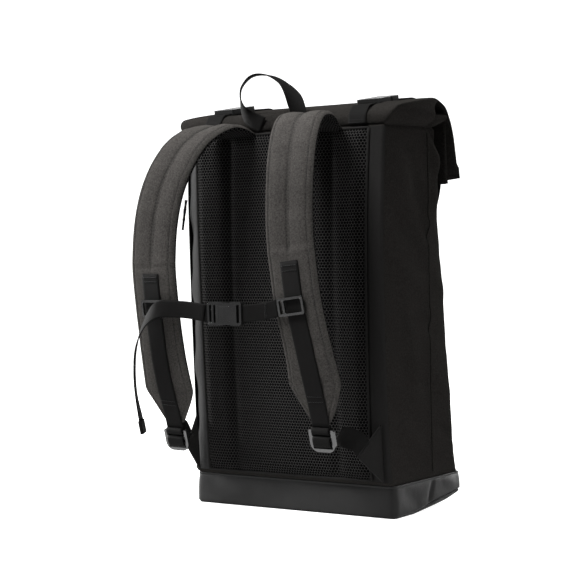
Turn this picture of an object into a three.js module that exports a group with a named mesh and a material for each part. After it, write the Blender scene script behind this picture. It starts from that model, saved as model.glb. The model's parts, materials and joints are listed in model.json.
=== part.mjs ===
// Roll-top backpack with padded shoulder straps and a coated base, in millimetres.
// The origin is the centre of the flat bottom. +Z is up and the shoulder straps are on the -Y side.
import * as THREE from 'three';

// Body
const WIDTH = 300;
const DEPTH = 155;
const HALF_WIDTH = WIDTH / 2;
const HALF_DEPTH = DEPTH / 2;
const SEAM_HEIGHT = 462;
const CANVAS_WALL = 3;
const BACK_BULGE = 10;
const CORNER_RADIUS = 8;
const FOLD_BACK_SHARE = 0.575;
const FOLD_WIDTH = 7;
const FOLD_DEPTH = 6;
const SIDE_BULGE = 3;
const FRONT_BOW = 5;
const PUFF = 7;

// Base
const BASE_HEIGHT = 39;
const BASE_WALL = 3;
const BASE_FLOOR = 5;
const BASE_CORNER = 6;
const BASE_FRONT_SHARE = 0.99;
const BASE_LAP = 14;
const FRONT_RISE = 15;
const FLAT_DEPTH = 88;
const CANVAS_SPREAD = 2;

// Roll top
const ROLL_RISE = 36;
const FLAP_DROP = 97;
const FLAP_STANDOFF = 79;
const GUSSET_DEPTH = 12;
const FLAP_TUCK = 3;

// Back panel
const PAD_THICKNESS = 7.5;
const PAD_HEM = 2.5;
const PAD_SLOPE = 8;
const PAD_BOTTOM = 44;
const PAD_TOP = 452;
const PAD_LOW_SHARE = 0.81;
const PAD_HIGH_SHARE = 0.86;
const CHANNEL_OFFSET = 76;
const CHANNEL_WIDTH = 18;
const CHANNEL_DEPTH = 4;
const STRIP_THICKNESS = 1.2;

// Shoulder straps and their hardware
const STRAP_WIDTH = 66;
const STRAP_THICKNESS = 12;
const STRAP_REACH = 118;
const STRAP_GROOVE = 4;
const WEBBING_WIDTH = 25;
const WEBBING_THICKNESS = 1.5;
const WEBBING_RUN = 9;
const LOCK_WIDTH = 35;
const LOCK_HEIGHT = 27;
const LOCK_THICKNESS = 3.5;
const LOCK_BAR = 4;
const TAB_THICKNESS = 2;
const TAB_HEIGHT = 69;
const TAB_REACH = 38;
const TAB_LEAN = 11;
const TAB_CLEARANCE = 1.2;
const LOWER_LEAD = 14;
const LOWER_BEND = { in: 3, up: 5 };

// Chest strap
const STERNUM_WIDTH = 20;
const STERNUM_BEND = { left: 1.5, right: -1 };
const STERNUM_SAG = 6;
const SLIDER_HEIGHT = 21;
const SLIDER_BAR = 2.8;
const SLIDER_LOOP = 4;
const SLIDER_THICKNESS = 3;
const STERNUM_BUCKLE_LENGTH = 50;
const TAIL_DROP = 134;
const TIP_LENGTH = 16;
const TIP_THICKNESS = 4;

// Closure straps and handle
const CLOSURE_PLACES = { left: -0.693 * HALF_WIDTH, right: 0.753 * HALF_WIDTH };
const CLOSURE_BUCKLE_LENGTH = 46;
const CLOSURE_LEAD = 15;
const CLOSURE_HANG = 100;
const BUCKLE_THICKNESS = 6.5;
const BUCKLE_MARGIN = 3.5;
const BUCKLE_BAR = 3;
const BUCKLE_SLOTS = { body: 4, plug: 3.2 };
const HANDLE_WIDTH = 20;
const HANDLE_RISE = 69;
const HANDLE_HALF_WIDTH = 43;

// Side zip
const ZIP_WIDTH = 12;
const ZIP_INSET = 3;
const ZIP_BOTTOM = 70;
const ZIP_TOP = 430;
const PULL_TOP = 383;
const PULL_LENGTH = 38;
const PULL_WIDTH = 4;
const PULL_SWING = 5;
const PULL_PLACE = 0.05;

const GAP = 0.3;
const SIDES = { left: -1, right: 1 };

// Sections of the body, bottom to top. height is a share of the seam height, and back, side, ridge, valley,
// front, puff and bow are shares of the back bulge, the half width, the side bulge, the fold depth, the half
// depth, the puff and the front's bow. corner is the front corner's share of the half width.
const BODY_COLUMNS = ['height', 'back', 'side', 'ridge', 'valley', 'corner', 'front', 'puff', 'bow'];
const BODY_ROWS = [
  [0.089, 0.3, 0.985, 0.2, 0.1, 0.965, 0.99, 0.0, 0.4],
  [0.13, 0.45, 0.975, 0.4, 0.6, 0.95, 0.99, 0.0, 0.7],
  [0.277, 0.75, 0.97, 0.8, 1.0, 0.93, 0.98, 0.0, 1.0],
  [0.463, 0.95, 0.97, 1.0, 1.0, 0.92, 0.9, 0.1, 1.0],
  [0.57, 1.0, 0.972, 0.9, 0.9, 0.92, 0.85, 0.0, 1.0],
  [0.677, 1.0, 0.975, 1.0, 0.9, 0.92, 0.79, 0.1, 0.9],
  [0.77, 0.95, 0.98, 0.9, 0.7, 0.92, 0.71, 0.2, 0.6],
  [0.83, 0.85, 0.985, 0.7, 0.1, 0.93, 0.66, 0.5, 0.3],
  [0.92, 0.65, 0.99, 0.4, 0.0, 0.95, 0.6, 1.0, 0.1],
  [1.0, 0.45, 1.0, 0.0, 0.0, 0.95, 0.545, 0.4, 0.0],
];

// Sections of the roll top from the seam to the mouth of the flap. Each runs from the outer sheet to the
// inner sheet. outer and inner are shares of the half depth or, past the ridge, of the flap's standoff.
// rise is a share of the roll's rise, drop of the flap's drop, half of the half width, gusset of its depth.
const ROLL_COLUMNS = ['outer', 'rise', 'drop', 'inner', 'innerRise', 'innerDrop', 'half', 'gusset'];
const ROLL_ROWS = [
  [-1.055, 0.36, 0.0, 0.555, 0.2, 0.0, 1.07, 0.0],
  [-0.95, 0.64, 0.0, 0.58, 0.31, 0.0, 1.09, 0.0],
  [-0.15, 0.89, 0.0, 0.61, 0.38, 0.0, 1.07, 0.1],
  [0.31, 1.0, 0.0, 0.645, 0.38, 0.0, 1.035, 0.2],
  [0.6, 1.0, 0.1, 0.67, 0.33, 0.0, 1.033, 0.2],
  [0.8, 1.0, 0.31, 0.69, 0.2, 0.0, 1.02, 0.22],
  [0.9, 1.0, 0.475, 0.7, 1.0, 0.445, 1.013, 0.45],
  [0.97, 1.0, 0.75, 0.7, 1.0, 0.75, 1.013, 0.7],
  [1.02, 1.0, 1.0, 0.7, 1.0, 1.08, 1.013, 1.0],
];
const ROLL_CORNER = 5;
const SEAM_FOLD = [0.35, 0.7, 0.76, 0.88];
const FLAP_FOLD = [0.28, 0.5, 0.56, 0.78];

// Route of each strap's middle from the seam down. height is a share of the seam height, out of the
// strap's reach, across of the half width, width, thick and groove of the strap's own sizes.
const STRAP_COLUMNS = ['height', 'out', 'across', 'width', 'thick', 'groove'];
const STRAP_ROWS = {
  left: [
    [0.9935, 0.04, 0.433, 0.9, 0.46, 0.3],
    [0.998, 0.12, 0.437, 0.92, 0.7, 0.6],
    [1.006, 0.22, 0.447, 0.96, 0.85, 1.0],
    [1.009, 0.356, 0.473, 1.0, 1.0, 1.0],
    [0.998, 0.51, 0.507, 1.0, 1.0, 1.0],
    [0.972, 0.66, 0.56, 1.0, 1.0, 1.0],
    [0.926, 0.797, 0.613, 1.0, 1.0, 1.0],
    [0.855, 0.91, 0.673, 1.0, 1.0, 1.0],
    [0.768, 0.975, 0.713, 1.0, 1.0, 1.0],
    [0.671, 1.0, 0.73, 1.0, 1.0, 0.8],
    [0.636, 1.0, 0.73, 1.0, 1.0, 0.0],
    [0.548, 0.968, 0.728, 1.0, 1.0, 0.0],
    [0.487, 0.932, 0.73, 1.0, 1.0, 0.0],
    [0.411, 0.864, 0.743, 1.03, 1.0, 0.0],
    [0.329, 0.78, 0.75, 1.12, 0.8, 0.0],
    [0.281, 0.712, 0.76, 0.75, 0.5, 0.0],
    [0.243, 0.67, 0.763, 0.42, 0.35, 0.0],
  ],
  right: [
    [0.9935, 0.04, 0.413, 0.9, 0.46, 0.3],
    [1.003, 0.12, 0.42, 0.92, 0.7, 0.6],
    [1.017, 0.22, 0.433, 0.96, 0.85, 1.0],
    [1.026, 0.356, 0.453, 1.0, 1.0, 1.0],
    [1.019, 0.51, 0.473, 1.0, 1.0, 1.0],
    [0.991, 0.65, 0.503, 1.0, 1.0, 1.0],
    [0.942, 0.771, 0.533, 1.0, 1.0, 1.0],
    [0.866, 0.873, 0.563, 1.0, 1.0, 1.0],
    [0.768, 0.915, 0.573, 1.0, 1.0, 1.0],
    [0.7, 0.924, 0.585, 1.0, 1.0, 0.8],
    [0.665, 0.924, 0.597, 1.0, 1.0, 0.0],
    [0.556, 0.9, 0.63, 1.0, 1.0, 0.0],
    [0.487, 0.864, 0.66, 1.0, 1.0, 0.0],
    [0.422, 0.814, 0.68, 1.03, 1.0, 0.0],
    [0.359, 0.763, 0.693, 1.12, 0.8, 0.0],
    [0.303, 0.712, 0.697, 0.75, 0.5, 0.0],
    [0.265, 0.678, 0.697, 0.42, 0.35, 0.0],
  ],
};
const STRAP_STEPS = 2;
const TACK_ROW = 10;
const SLIDER_ROW = 11;

// Half of a strap's section, outer face first: shares of the width and of the thickness.
const STRAP_SECTION = [[0.25, 0.5], [0.44, 0.42], [0.5, 0.1], [0.5, -0.25], [0.42, -0.5]];

// Handle loop from its left foot to its right foot: shares of the half width, of the rise above the seam,
// and of the handle's lean to the back, with the turn of the webbing in degrees.
const HANDLE_COLUMNS = ['across', 'rise', 'lean', 'turn'];
const HANDLE_LEAN = 4;
const HANDLE_ROWS = [
  [-0.6, 0.12, 0.0, 0],
  [-1.05, 0.28, 0.8, 14],
  [-1.22, 0.42, 1.0, 28],
  [-1.3, 0.62, 1.0, 36],
  [-1.26, 0.78, 1.0, 36],
  [-1.0, 0.94, 1.0, 34],
  [-0.68, 1.0, 1.0, 28],
  [-0.2, 0.96, 1.0, 12],
  [0.26, 0.8, 1.0, 0],
  [0.55, 0.58, 1.0, 0],
  [0.72, 0.32, 0.9, 6],
  [0.8, 0.12, 0.0, 0],
];

// Free end of the chest strap. It first lies on the left webbing: share is the place from the slider to the
// buckle and lift the distance off it in webbing thicknesses.
const TAIL_ON_WEBBING = [
  { share: 0.92, lift: 1.2 },
  { share: 0.5, lift: 1.2 },
  { share: 0.12, lift: 1.9 },
];
// Then it leaves the slider: right, front and up from the slider's middle are shares of the tail's drop, and
// turn is the webbing's turn in degrees from upright across.
const TAIL_COLUMNS = ['right', 'front', 'up', 'turn'];
const TAIL_ROWS = [
  [0.113, 0.058, -0.007, 20],
  [-0.006, 0.088, -0.119, 60],
  [-0.118, 0.084, -0.321, 85],
  [-0.17, 0.062, -0.552, 90],
  [-0.178, 0.039, -0.776, 88],
  [-0.155, 0.01, -1.0, 50],
];
const TAIL_STEPS = 3;

// Record of one table row under its column names
function named(columns, row) {
  return Object.fromEntries(columns.map((column, index) => [column, row[index]]));
}

// Row of a table at a fractional place along it
function rowAt(columns, rows, place) {
  const low = Math.min(Math.floor(place), rows.length - 2);
  const mix = rows[low].map((value, index) => THREE.MathUtils.lerp(value, rows[low + 1][index], place - low));
  return named(columns, mix);
}

// Outline moved inwards by a distance, corner by corner
function inset(outline, distance) {
  return outline.map((point, index) => {
    const before = outline.at(index - 1);
    const after = outline[(index + 1) % outline.length];
    const a = point.clone().sub(before).normalize();
    const b = after.clone().sub(point).normalize();
    const normal = new THREE.Vector2(-a.y - b.y, a.x + b.x).normalize();
    const reach = distance / Math.max(0.4, normal.dot(new THREE.Vector2(-a.y, a.x)));
    return point.clone().addScaledVector(normal, reach);
  });
}

// Triangles that close a flat outline, turned the same way as the outline
function flatCap(outline) {
  const clockwise = THREE.ShapeUtils.isClockWise(outline);
  return THREE.ShapeUtils.triangulateShape(outline, []).map(([a, b, c]) => {
    const turned = THREE.ShapeUtils.isClockWise([outline[a], outline[b], outline[c]]);
    return turned === clockwise ? [a, b, c] : [a, c, b];
  });
}

// Triangles across an outline whose first half mirrors its second half
function ladderCap(size) {
  const triangles = [];
  for (let step = 0; step < size / 2 - 1; step += 1) {
    const right = [step, step + 1];
    const left = [size - 1 - step, size - 2 - step];
    triangles.push([right[0], right[1], left[1]], [right[0], left[1], left[0]]);
  }
  return triangles;
}

// Closed skin through rings of equal size: capped at both ends, or joined end to start
function loft(rings, caps) {
  const size = rings[0].length;
  const points = rings.flat();
  const faces = [];
  const spans = caps ? rings.length - 1 : rings.length;
  for (let span = 0; span < spans; span += 1) {
    const low = span * size;
    const high = ((span + 1) % rings.length) * size;
    for (let side = 0; side < size; side += 1) {
      const next = (side + 1) % size;
      faces.push([low + side, low + next, high + next], [low + side, high + next, high + side]);
    }
  }
  if (caps) {
    const last = (rings.length - 1) * size;
    caps[0].forEach(([a, b, c]) => faces.push([a, c, b]));
    caps[1].forEach(([a, b, c]) => faces.push([last + a, last + b, last + c]));
  }
  return solid(points, faces);
}

// Geometry of a closed skin, turned to face outwards
function solid(points, faces) {
  const volume = faces.reduce((sum, [a, b, c]) => {
    const normal = new THREE.Vector3().crossVectors(points[b], points[c]);
    return sum + points[a].dot(normal);
  }, 0);
  const outward = volume > 0 ? faces : faces.map(([a, b, c]) => [a, c, b]);
  const geometry = new THREE.BufferGeometry();
  const numbers = points.flatMap((point) => point.toArray());
  geometry.setAttribute('position', new THREE.Float32BufferAttribute(numbers, 3));
  geometry.setIndex(outward.flat());
  geometry.computeVertexNormals();
  return geometry;
}

// Solid through sections, each an outline in its own frame
function sweep(sections) {
  const rings = sections.map(({ outline, frame }) => place(outline, frame));
  return loft(rings, [flatCap(sections[0].outline), flatCap(sections.at(-1).outline)]);
}

function place(outline, frame) {
  return outline.map((point) => new THREE.Vector3(point.x, point.y, 0).applyMatrix4(frame));
}

function rectangle(width, thickness) {
  const [x, y] = [width / 2, thickness / 2];
  return [[-x, -y], [x, -y], [x, y], [-x, y]].map(([u, v]) => new THREE.Vector2(u, v));
}

// Frame at each point of a route: x across the band, y out of its face, z along it
function framesAlong(points, across, ends = {}) {
  const last = points.length - 1;
  return points.map((point, index) => {
    const before = points[Math.max(index - 1, 0)];
    const after = points[Math.min(index + 1, last)];
    const tangent = after.clone().sub(before).normalize();
    if (index === 0 && ends.first) tangent.copy(ends.first);
    if (index === last && ends.last) tangent.copy(ends.last);
    const x = across[index].clone().addScaledVector(tangent, -across[index].dot(tangent)).normalize();
    const y = new THREE.Vector3().crossVectors(tangent, x);
    return new THREE.Matrix4().makeBasis(x, y, tangent).setPosition(point);
  });
}

function ribbon(points, across, width, thickness, ends) {
  const outline = rectangle(width, thickness);
  const frames = framesAlong(points, across, ends);
  return sweep(frames.map((frame) => ({ outline, frame })));
}

// Flat plate of a shape, centred on its own plane
function plate(shape, thickness) {
  const settings = { depth: thickness, bevelEnabled: false, curveSegments: 4 };
  return new THREE.ExtrudeGeometry(shape, settings).translate(0, 0, -thickness / 2);
}

function roundedRectangle(target, x, y, width, height, radius) {
  const [right, top] = [x + width, y + height];
  target.moveTo(x + radius, y);
  target.lineTo(right - radius, y);
  target.absarc(right - radius, y + radius, radius, -Math.PI / 2, 0);
  target.lineTo(right, top - radius);
  target.absarc(right - radius, top - radius, radius, 0, Math.PI / 2);
  target.lineTo(x + radius, top);
  target.absarc(x + radius, top - radius, radius, Math.PI / 2, Math.PI);
  target.lineTo(x, y + radius);
  target.absarc(x + radius, y + radius, radius, Math.PI, 1.5 * Math.PI);
  return target;
}

// Right half of an outline, back to front, completed by its mirror image
function mirrored(right, middle = []) {
  const left = right.map((point) => new THREE.Vector2(-point.x, point.y)).reverse();
  return [...right, ...middle, ...left];
}

function corner(x, y, radius, signY) {
  const share = 0.3;
  const points = [[x - radius, y], [x - share * radius, y - signY * share * radius], [x, y - signY * radius]];
  return points.map(([u, v]) => new THREE.Vector2(u, v));
}

// Outline of the base at its widest, with the side fold at the same place as on the body
function baseOutline() {
  const frontHalf = HALF_WIDTH * BASE_FRONT_SHARE;
  const foldY = -HALF_DEPTH + DEPTH * FOLD_BACK_SHARE;
  const back = corner(HALF_WIDTH, -HALF_DEPTH, BASE_CORNER, -1);
  const side = [
    new THREE.Vector2(HALF_WIDTH, (foldY - HALF_DEPTH) / 2),
    new THREE.Vector2(HALF_WIDTH, foldY),
    new THREE.Vector2(HALF_WIDTH, foldY + FOLD_WIDTH),
    new THREE.Vector2((HALF_WIDTH + frontHalf) / 2, (foldY + HALF_DEPTH) / 2),
  ];
  const front = corner(frontHalf, HALF_DEPTH, BASE_CORNER, 1).reverse();
  return mirrored([...back, ...side, ...front]);
}

// How far the bottom curls up towards the front
function bottomRise(y) {
  const start = -HALF_DEPTH + FLAT_DEPTH;
  return FRONT_RISE * THREE.MathUtils.clamp((y - start) / (HALF_DEPTH - start), 0, 1);
}

function makeBase() {
  const profile = [
    { height: 0, narrow: 4 },
    { height: 1.5, narrow: 1.5 },
    { height: 8, narrow: 0 },
    { height: BASE_HEIGHT, narrow: 0 },
  ];
  const ring = (narrow, height) => inset(baseOutline(), narrow).map((point) => {
    const curl = bottomRise(point.y) * (1 - height / BASE_HEIGHT);
    return new THREE.Vector3(point.x, point.y, height + curl);
  });
  const outer = profile.map(({ height, narrow }) => ring(narrow, height));
  const inner = profile.map(({ height, narrow }) => {
    const lifted = height + BASE_FLOOR * (1 - height / BASE_HEIGHT);
    return ring(narrow + BASE_WALL, lifted);
  });
  const cap = ladderCap(outer[0].length);
  return loft([...outer, ...inner.reverse()], [cap, cap]);
}

function bodyRow(z) {
  const heights = BODY_ROWS.map(([height]) => height * SEAM_HEIGHT);
  const above = heights.findIndex((height) => height >= z);
  const high = above < 1 ? (above < 0 ? heights.length - 1 : 1) : above;
  const share = (z - heights[high - 1]) / (heights[high] - heights[high - 1]);
  return rowAt(BODY_COLUMNS, BODY_ROWS, high - 1 + THREE.MathUtils.clamp(share, 0, 0.9999));
}

// Outside of the back panel and of the front panel at a height
function backFace(z) {
  return -HALF_DEPTH - BACK_BULGE * bodyRow(z).back;
}

function frontFace(z, x) {
  const row = bodyRow(z);
  const flatHalf = HALF_WIDTH * row.corner - CORNER_RADIUS;
  return HALF_DEPTH * row.front + FRONT_BOW * row.bow * Math.max(0, 1 - Math.abs(x) / flatHalf);
}

// Outline of the canvas body at one row of its table
function bodyOutline(row) {
  const back = -HALF_DEPTH - BACK_BULGE * row.back;
  const side = HALF_WIDTH * row.side;
  const foldY = -HALF_DEPTH + DEPTH * FOLD_BACK_SHARE;
  const ridge = side + SIDE_BULGE * row.ridge;
  const frontHalf = HALF_WIDTH * row.corner;
  const front = HALF_DEPTH * row.front;
  const valley = ridge - FOLD_DEPTH * row.valley;
  const foldEnd = Math.min(foldY + FOLD_WIDTH, front - 3 * CORNER_RADIUS);
  const sidePoints = [
    new THREE.Vector2(side + SIDE_BULGE * row.ridge * 0.7, (back + foldY) / 2),
    new THREE.Vector2(ridge, foldY),
    new THREE.Vector2(valley, foldEnd),
    new THREE.Vector2((valley + frontHalf) / 2 + PUFF * row.puff, (foldEnd + front) / 2),
  ];
  const right = [
    ...corner(side, back, CORNER_RADIUS, -1),
    ...sidePoints,
    ...corner(frontHalf, front, CORNER_RADIUS, 1).reverse(),
  ];
  return mirrored(right, [new THREE.Vector2(0, front + FRONT_BOW * row.bow)]);
}

function atHeight(outline, z) {
  return outline.map((point) => new THREE.Vector3(point.x, point.y, z));
}

// The body stands inside the base, and spreads to its full size just above the base's edge
function makeSack() {
  const whole = baseOutline();
  const half = whole.length / 2;
  const tucked = [...whole.slice(0, half), new THREE.Vector2(0, HALF_DEPTH), ...whole.slice(half)];
  const fit = BASE_WALL + GAP;
  const levels = [
    { outline: inset(tucked, fit), z: BASE_HEIGHT - BASE_LAP },
    { outline: inset(tucked, fit), z: BASE_HEIGHT },
    ...BODY_ROWS.map((values) => {
      const row = named(BODY_COLUMNS, values);
      const z = Math.max(row.height * SEAM_HEIGHT, BASE_HEIGHT + CANVAS_SPREAD);
      return { outline: bodyOutline(row), z };
    }),
  ];
  const outer = levels.map(({ outline, z }) => atHeight(outline, z));
  const inner = levels.map(({ outline, z }) => atHeight(inset(outline, CANVAS_WALL), z));
  return loft([...outer, ...inner.reverse()], null);
}

// Outer and inner sheet of the roll top at each of its sections, as points of the YZ plane
function rollLines() {
  return ROLL_ROWS.map((values) => {
    const row = named(ROLL_COLUMNS, values);
    const outerDepth = row.drop > 0 ? FLAP_STANDOFF : HALF_DEPTH;
    const outer = new THREE.Vector2(
      row.outer * outerDepth,
      SEAM_HEIGHT + row.rise * ROLL_RISE - row.drop * FLAP_DROP,
    );
    const inner = new THREE.Vector2(
      row.inner * HALF_DEPTH,
      SEAM_HEIGHT + row.innerRise * ROLL_RISE - row.innerDrop * FLAP_DROP,
    );
    return { outer, inner, half: row.half * HALF_WIDTH, gusset: row.gusset };
  });
}

// Outline of one section of the roll top: x is across, y runs from the outer to the inner sheet
function rollOutline({ outer, inner, half, gusset }) {
  const length = outer.distanceTo(inner);
  const deep = Math.min(GUSSET_DEPTH * gusset, 0.45 * length);
  const round = Math.min(ROLL_CORNER, 0.18 * length);
  const turned = Math.min(1, 3 * gusset);
  const fold = SEAM_FOLD.map((share, index) => THREE.MathUtils.lerp(share, FLAP_FOLD[index], turned));
  const innerHalf = half - FLAP_TUCK;
  const depths = [0.5, 1, 0.92, 0.4];
  const right = [
    ...corner(half, 0, round, -1),
    ...fold.map((share, index) => new THREE.Vector2(half - deep * depths[index], share * length)),
    ...corner(innerHalf, length, round, 1).reverse(),
  ];
  return mirrored(right, [new THREE.Vector2(0, length)]);
}

function makeRollTop() {
  const seam = bodyOutline(named(BODY_COLUMNS, BODY_ROWS.at(-1)));
  const rings = rollLines().map((line) => {
    const along = line.inner.clone().sub(line.outer).normalize();
    const toSpace = (point) => new THREE.Vector3(
      point.x,
      line.outer.x + along.x * point.y,
      line.outer.y + along.y * point.y,
    );
    const outline = rollOutline(line);
    return { outer: outline.map(toSpace), inner: inset(outline, CANVAS_WALL).map(toSpace) };
  });
  const start = {
    outer: atHeight(seam, SEAM_HEIGHT + GAP),
    inner: atHeight(inset(seam, CANVAS_WALL), SEAM_HEIGHT + GAP),
  };
  const all = [start, ...rings];
  return loft([...all.map((ring) => ring.outer), ...all.map((ring) => ring.inner).reverse()], null);
}

// Outer sheet's line in the YZ plane from the seam to the flap's mouth, moved outwards by a distance
function rollSurface(distance) {
  const start = new THREE.Vector2(backFace(SEAM_HEIGHT), SEAM_HEIGHT + GAP);
  const line = [start, ...rollLines().map(({ outer }) => outer)];
  return line.map((point, index) => {
    const before = line[Math.max(index - 1, 0)];
    const after = line[Math.min(index + 1, line.length - 1)];
    const a = point.clone().sub(before).normalize();
    const b = after.clone().sub(point).normalize();
    const normal = new THREE.Vector2(-a.y - b.y, a.x + b.x).normalize();
    const cosine = index === 0 || index === line.length - 1 ? 1 : normal.dot(new THREE.Vector2(-a.y, a.x));
    return point.clone().addScaledVector(normal, distance / cosine);
  });
}

// Heights of the body's table rows between two heights, with both ends
function levelsBetween(low, high) {
  const inside = BODY_ROWS.map(([height]) => height * SEAM_HEIGHT).filter((z) => z > low + 1 && z < high - 1);
  return [low, ...inside, high];
}

// Half width of the mesh panel: it widens from the base to the seam
function padHalf(z) {
  const share = (z - PAD_BOTTOM) / (PAD_TOP - PAD_BOTTOM);
  return HALF_WIDTH * THREE.MathUtils.lerp(PAD_LOW_SHARE, PAD_HIGH_SHARE, share * share);
}

function makeBackPad() {
  const sections = levelsBetween(PAD_BOTTOM, PAD_TOP).map((z) => {
    const edge = padHalf(z);
    const low = CHANNEL_OFFSET - CHANNEL_WIDTH / 2;
    const high = CHANNEL_OFFSET + CHANNEL_WIDTH / 2;
    const right = [
      [edge, 0],
      [edge, PAD_HEM],
      [edge - PAD_SLOPE, PAD_THICKNESS * 0.75],
      [high, PAD_THICKNESS * 0.95],
      [CHANNEL_OFFSET, PAD_THICKNESS - CHANNEL_DEPTH],
      [low, PAD_THICKNESS],
    ].map(([x, y]) => new THREE.Vector2(x, y));
    const frame = new THREE.Matrix4().makeBasis(
      new THREE.Vector3(1, 0, 0), new THREE.Vector3(0, -1, 0), new THREE.Vector3(0, 0, -1),
    ).setPosition(0, backFace(z) - GAP, z);
    return { outline: mirrored(right), frame };
  });
  return sweep(sections);
}

// Flat strips of canvas between the mesh and the body's corner
function makeEdgeStrip(side) {
  const rings = levelsBetween(PAD_BOTTOM, PAD_TOP).map((z) => {
    const inner = padHalf(z) + GAP;
    const outer = HALF_WIDTH * bodyRow(z).side - CORNER_RADIUS;
    const [near, far] = [backFace(z) - GAP, backFace(z) - GAP - STRIP_THICKNESS];
    return [[inner, near], [outer, near], [outer, far], [inner, far]]
      .map(([x, y]) => new THREE.Vector3(side * x, y, z));
  });
  const cap = [[0, 1, 2], [0, 2, 3]];
  return loft(rings, [cap, cap]);
}

// Frames down the middle of a strap, each with the strap's size there
function strapStations(name) {
  const side = SIDES[name];
  const rows = STRAP_ROWS[name];
  const points = rows.map((values) => {
    const row = named(STRAP_COLUMNS, values);
    return new THREE.Vector3(
      side * row.across * HALF_WIDTH,
      -HALF_DEPTH - row.out * STRAP_REACH,
      row.height * SEAM_HEIGHT,
    );
  });
  const root = points[0];
  const rootHalf = 0.5 * STRAP_THICKNESS * rows[0][STRAP_COLUMNS.indexOf('thick')];
  root.y = backFace(root.z - rootHalf) - GAP;
  const curve = new THREE.CatmullRomCurve3(points, false, 'centripetal');
  const count = (rows.length - 1) * STRAP_STEPS;
  const route = Array.from({ length: count + 1 }, (_, index) => curve.getPoint(index / count));
  const across = route.map(() => new THREE.Vector3(1, 0, 0));
  const frames = framesAlong(route, across, { first: new THREE.Vector3(0, -1, 0) });
  return frames.map((frame, index) => {
    const row = rowAt(STRAP_COLUMNS, rows, index / STRAP_STEPS);
    return {
      frame,
      width: row.width * STRAP_WIDTH,
      thick: row.thick * STRAP_THICKNESS,
      groove: row.groove * STRAP_GROOVE,
    };
  });
}

function strapOutline({ width, thick, groove }) {
  const right = STRAP_SECTION.map(([u, v]) => new THREE.Vector2(u * width, v * thick));
  const left = right.map((point) => new THREE.Vector2(-point.x, point.y)).reverse();
  const middle = [
    new THREE.Vector2(-0.06 * width, 0.5 * thick - 0.3 * groove),
    new THREE.Vector2(0, 0.5 * thick - groove),
    new THREE.Vector2(0.06 * width, 0.5 * thick - 0.3 * groove),
  ];
  return [...right, ...left, ...middle];
}

function makeStrap(name) {
  return sweep(strapStations(name).map((station) => ({
    outline: strapOutline(station),
    frame: station.frame,
  })));
}

// Point at a place of a frame: across the band, out of its face and along it
function pointIn(frame, across, out, along) {
  return new THREE.Vector3(across, out, along).applyMatrix4(frame);
}

function strapEnd(name) {
  return strapStations(name).at(-1);
}

// Webbing on the face of a strap, from its bar tack to the adjuster
function makeStrapWebbing(name) {
  const lift = GAP + WEBBING_THICKNESS / 2;
  const stations = strapStations(name).slice(TACK_ROW * STRAP_STEPS);
  const outline = rectangle(WEBBING_WIDTH, WEBBING_THICKNESS);
  const sections = stations.map(({ frame, thick }) => {
    const point = pointIn(frame, 0, thick / 2 + lift, 0);
    return { outline, frame: frame.clone().setPosition(point) };
  });
  const { frame, thick } = stations.at(-1);
  const end = pointIn(frame, 0, thick / 2 + lift, WEBBING_RUN);
  return sweep([...sections, { outline, frame: frame.clone().setPosition(end) }]);
}

// Frame of an adjuster: it hangs just below the end of the webbing, in the plane of its face
function lockFrame(name) {
  const { frame, thick } = strapEnd(name);
  const out = thick / 2 + GAP + WEBBING_THICKNESS / 2;
  const middle = pointIn(frame, 0, out, WEBBING_RUN + GAP + LOCK_HEIGHT / 2);
  return frame.clone().setPosition(middle);
}

// D-shaped adjuster with a flat top bar, a round bottom and a bar across its middle
function makeLadderLock(name) {
  const [half, top] = [LOCK_WIDTH / 2, LOCK_HEIGHT / 2];
  const round = LOCK_WIDTH * 0.3;
  const slotWidth = LOCK_WIDTH - 2 * LOCK_BAR;
  const slotHeight = (LOCK_HEIGHT - 4 * LOCK_BAR) / 3;
  const slots = [0, 1, 2].map((index) => {
    const y = -top + LOCK_BAR + index * (slotHeight + LOCK_BAR);
    return roundedRectangle(new THREE.Path(), -slotWidth / 2, y, slotWidth, slotHeight, 1);
  });
  const body = new THREE.Shape();
  body.moveTo(-half + 2, -top);
  body.lineTo(half - 2, -top);
  body.absarc(half - 2, -top + 2, 2, -Math.PI / 2, 0);
  body.lineTo(half, top - round);
  body.absarc(half - round, top - round, round, 0, Math.PI / 2);
  body.lineTo(-half + round, top);
  body.absarc(-half + round, top - round, round, Math.PI / 2, Math.PI);
  body.lineTo(-half, -top + 2);
  body.absarc(-half + 2, -top + 2, 2, Math.PI, 1.5 * Math.PI);
  body.holes = slots;
  const turn = new THREE.Matrix4().makeRotationX(Math.PI / 2);
  return plate(body, LOCK_THICKNESS).applyMatrix4(lockFrame(name).multiply(turn));
}

// Corners of the sewn triangle: top and bottom on the edge strip, and the point that the webbing pulls out
function tabCorners(side) {
  const lift = GAP + STRIP_THICKNESS + TAB_CLEARANCE;
  const bottomZ = BASE_HEIGHT + 2 * CANVAS_SPREAD;
  const topZ = bottomZ + TAB_HEIGHT;
  const edge = HALF_WIDTH * bodyRow(bottomZ).side - CORNER_RADIUS;
  const middleZ = (bottomZ + topZ) / 2;
  return {
    top: new THREE.Vector3(side * edge, backFace(topZ) - lift, topZ),
    bottom: new THREE.Vector3(side * edge, backFace(bottomZ) - lift, bottomZ),
    point: new THREE.Vector3(side * (edge - TAB_LEAN), backFace(middleZ) - TAB_REACH, middleZ),
  };
}

function makeTab(side) {
  const { top, bottom, point } = tabCorners(side);
  const [up, down] = [top.clone().sub(point), bottom.clone().sub(point)];
  const normal = new THREE.Vector3().crossVectors(up, down).normalize();
  if (normal.x * side > 0) normal.negate();
  const inner = [top, bottom, point];
  const outer = inner.map((vertex) => vertex.clone().addScaledVector(normal, TAB_THICKNESS));
  const cap = [[0, 1, 2]];
  return loft([inner, outer], [cap, cap]);
}

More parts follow.
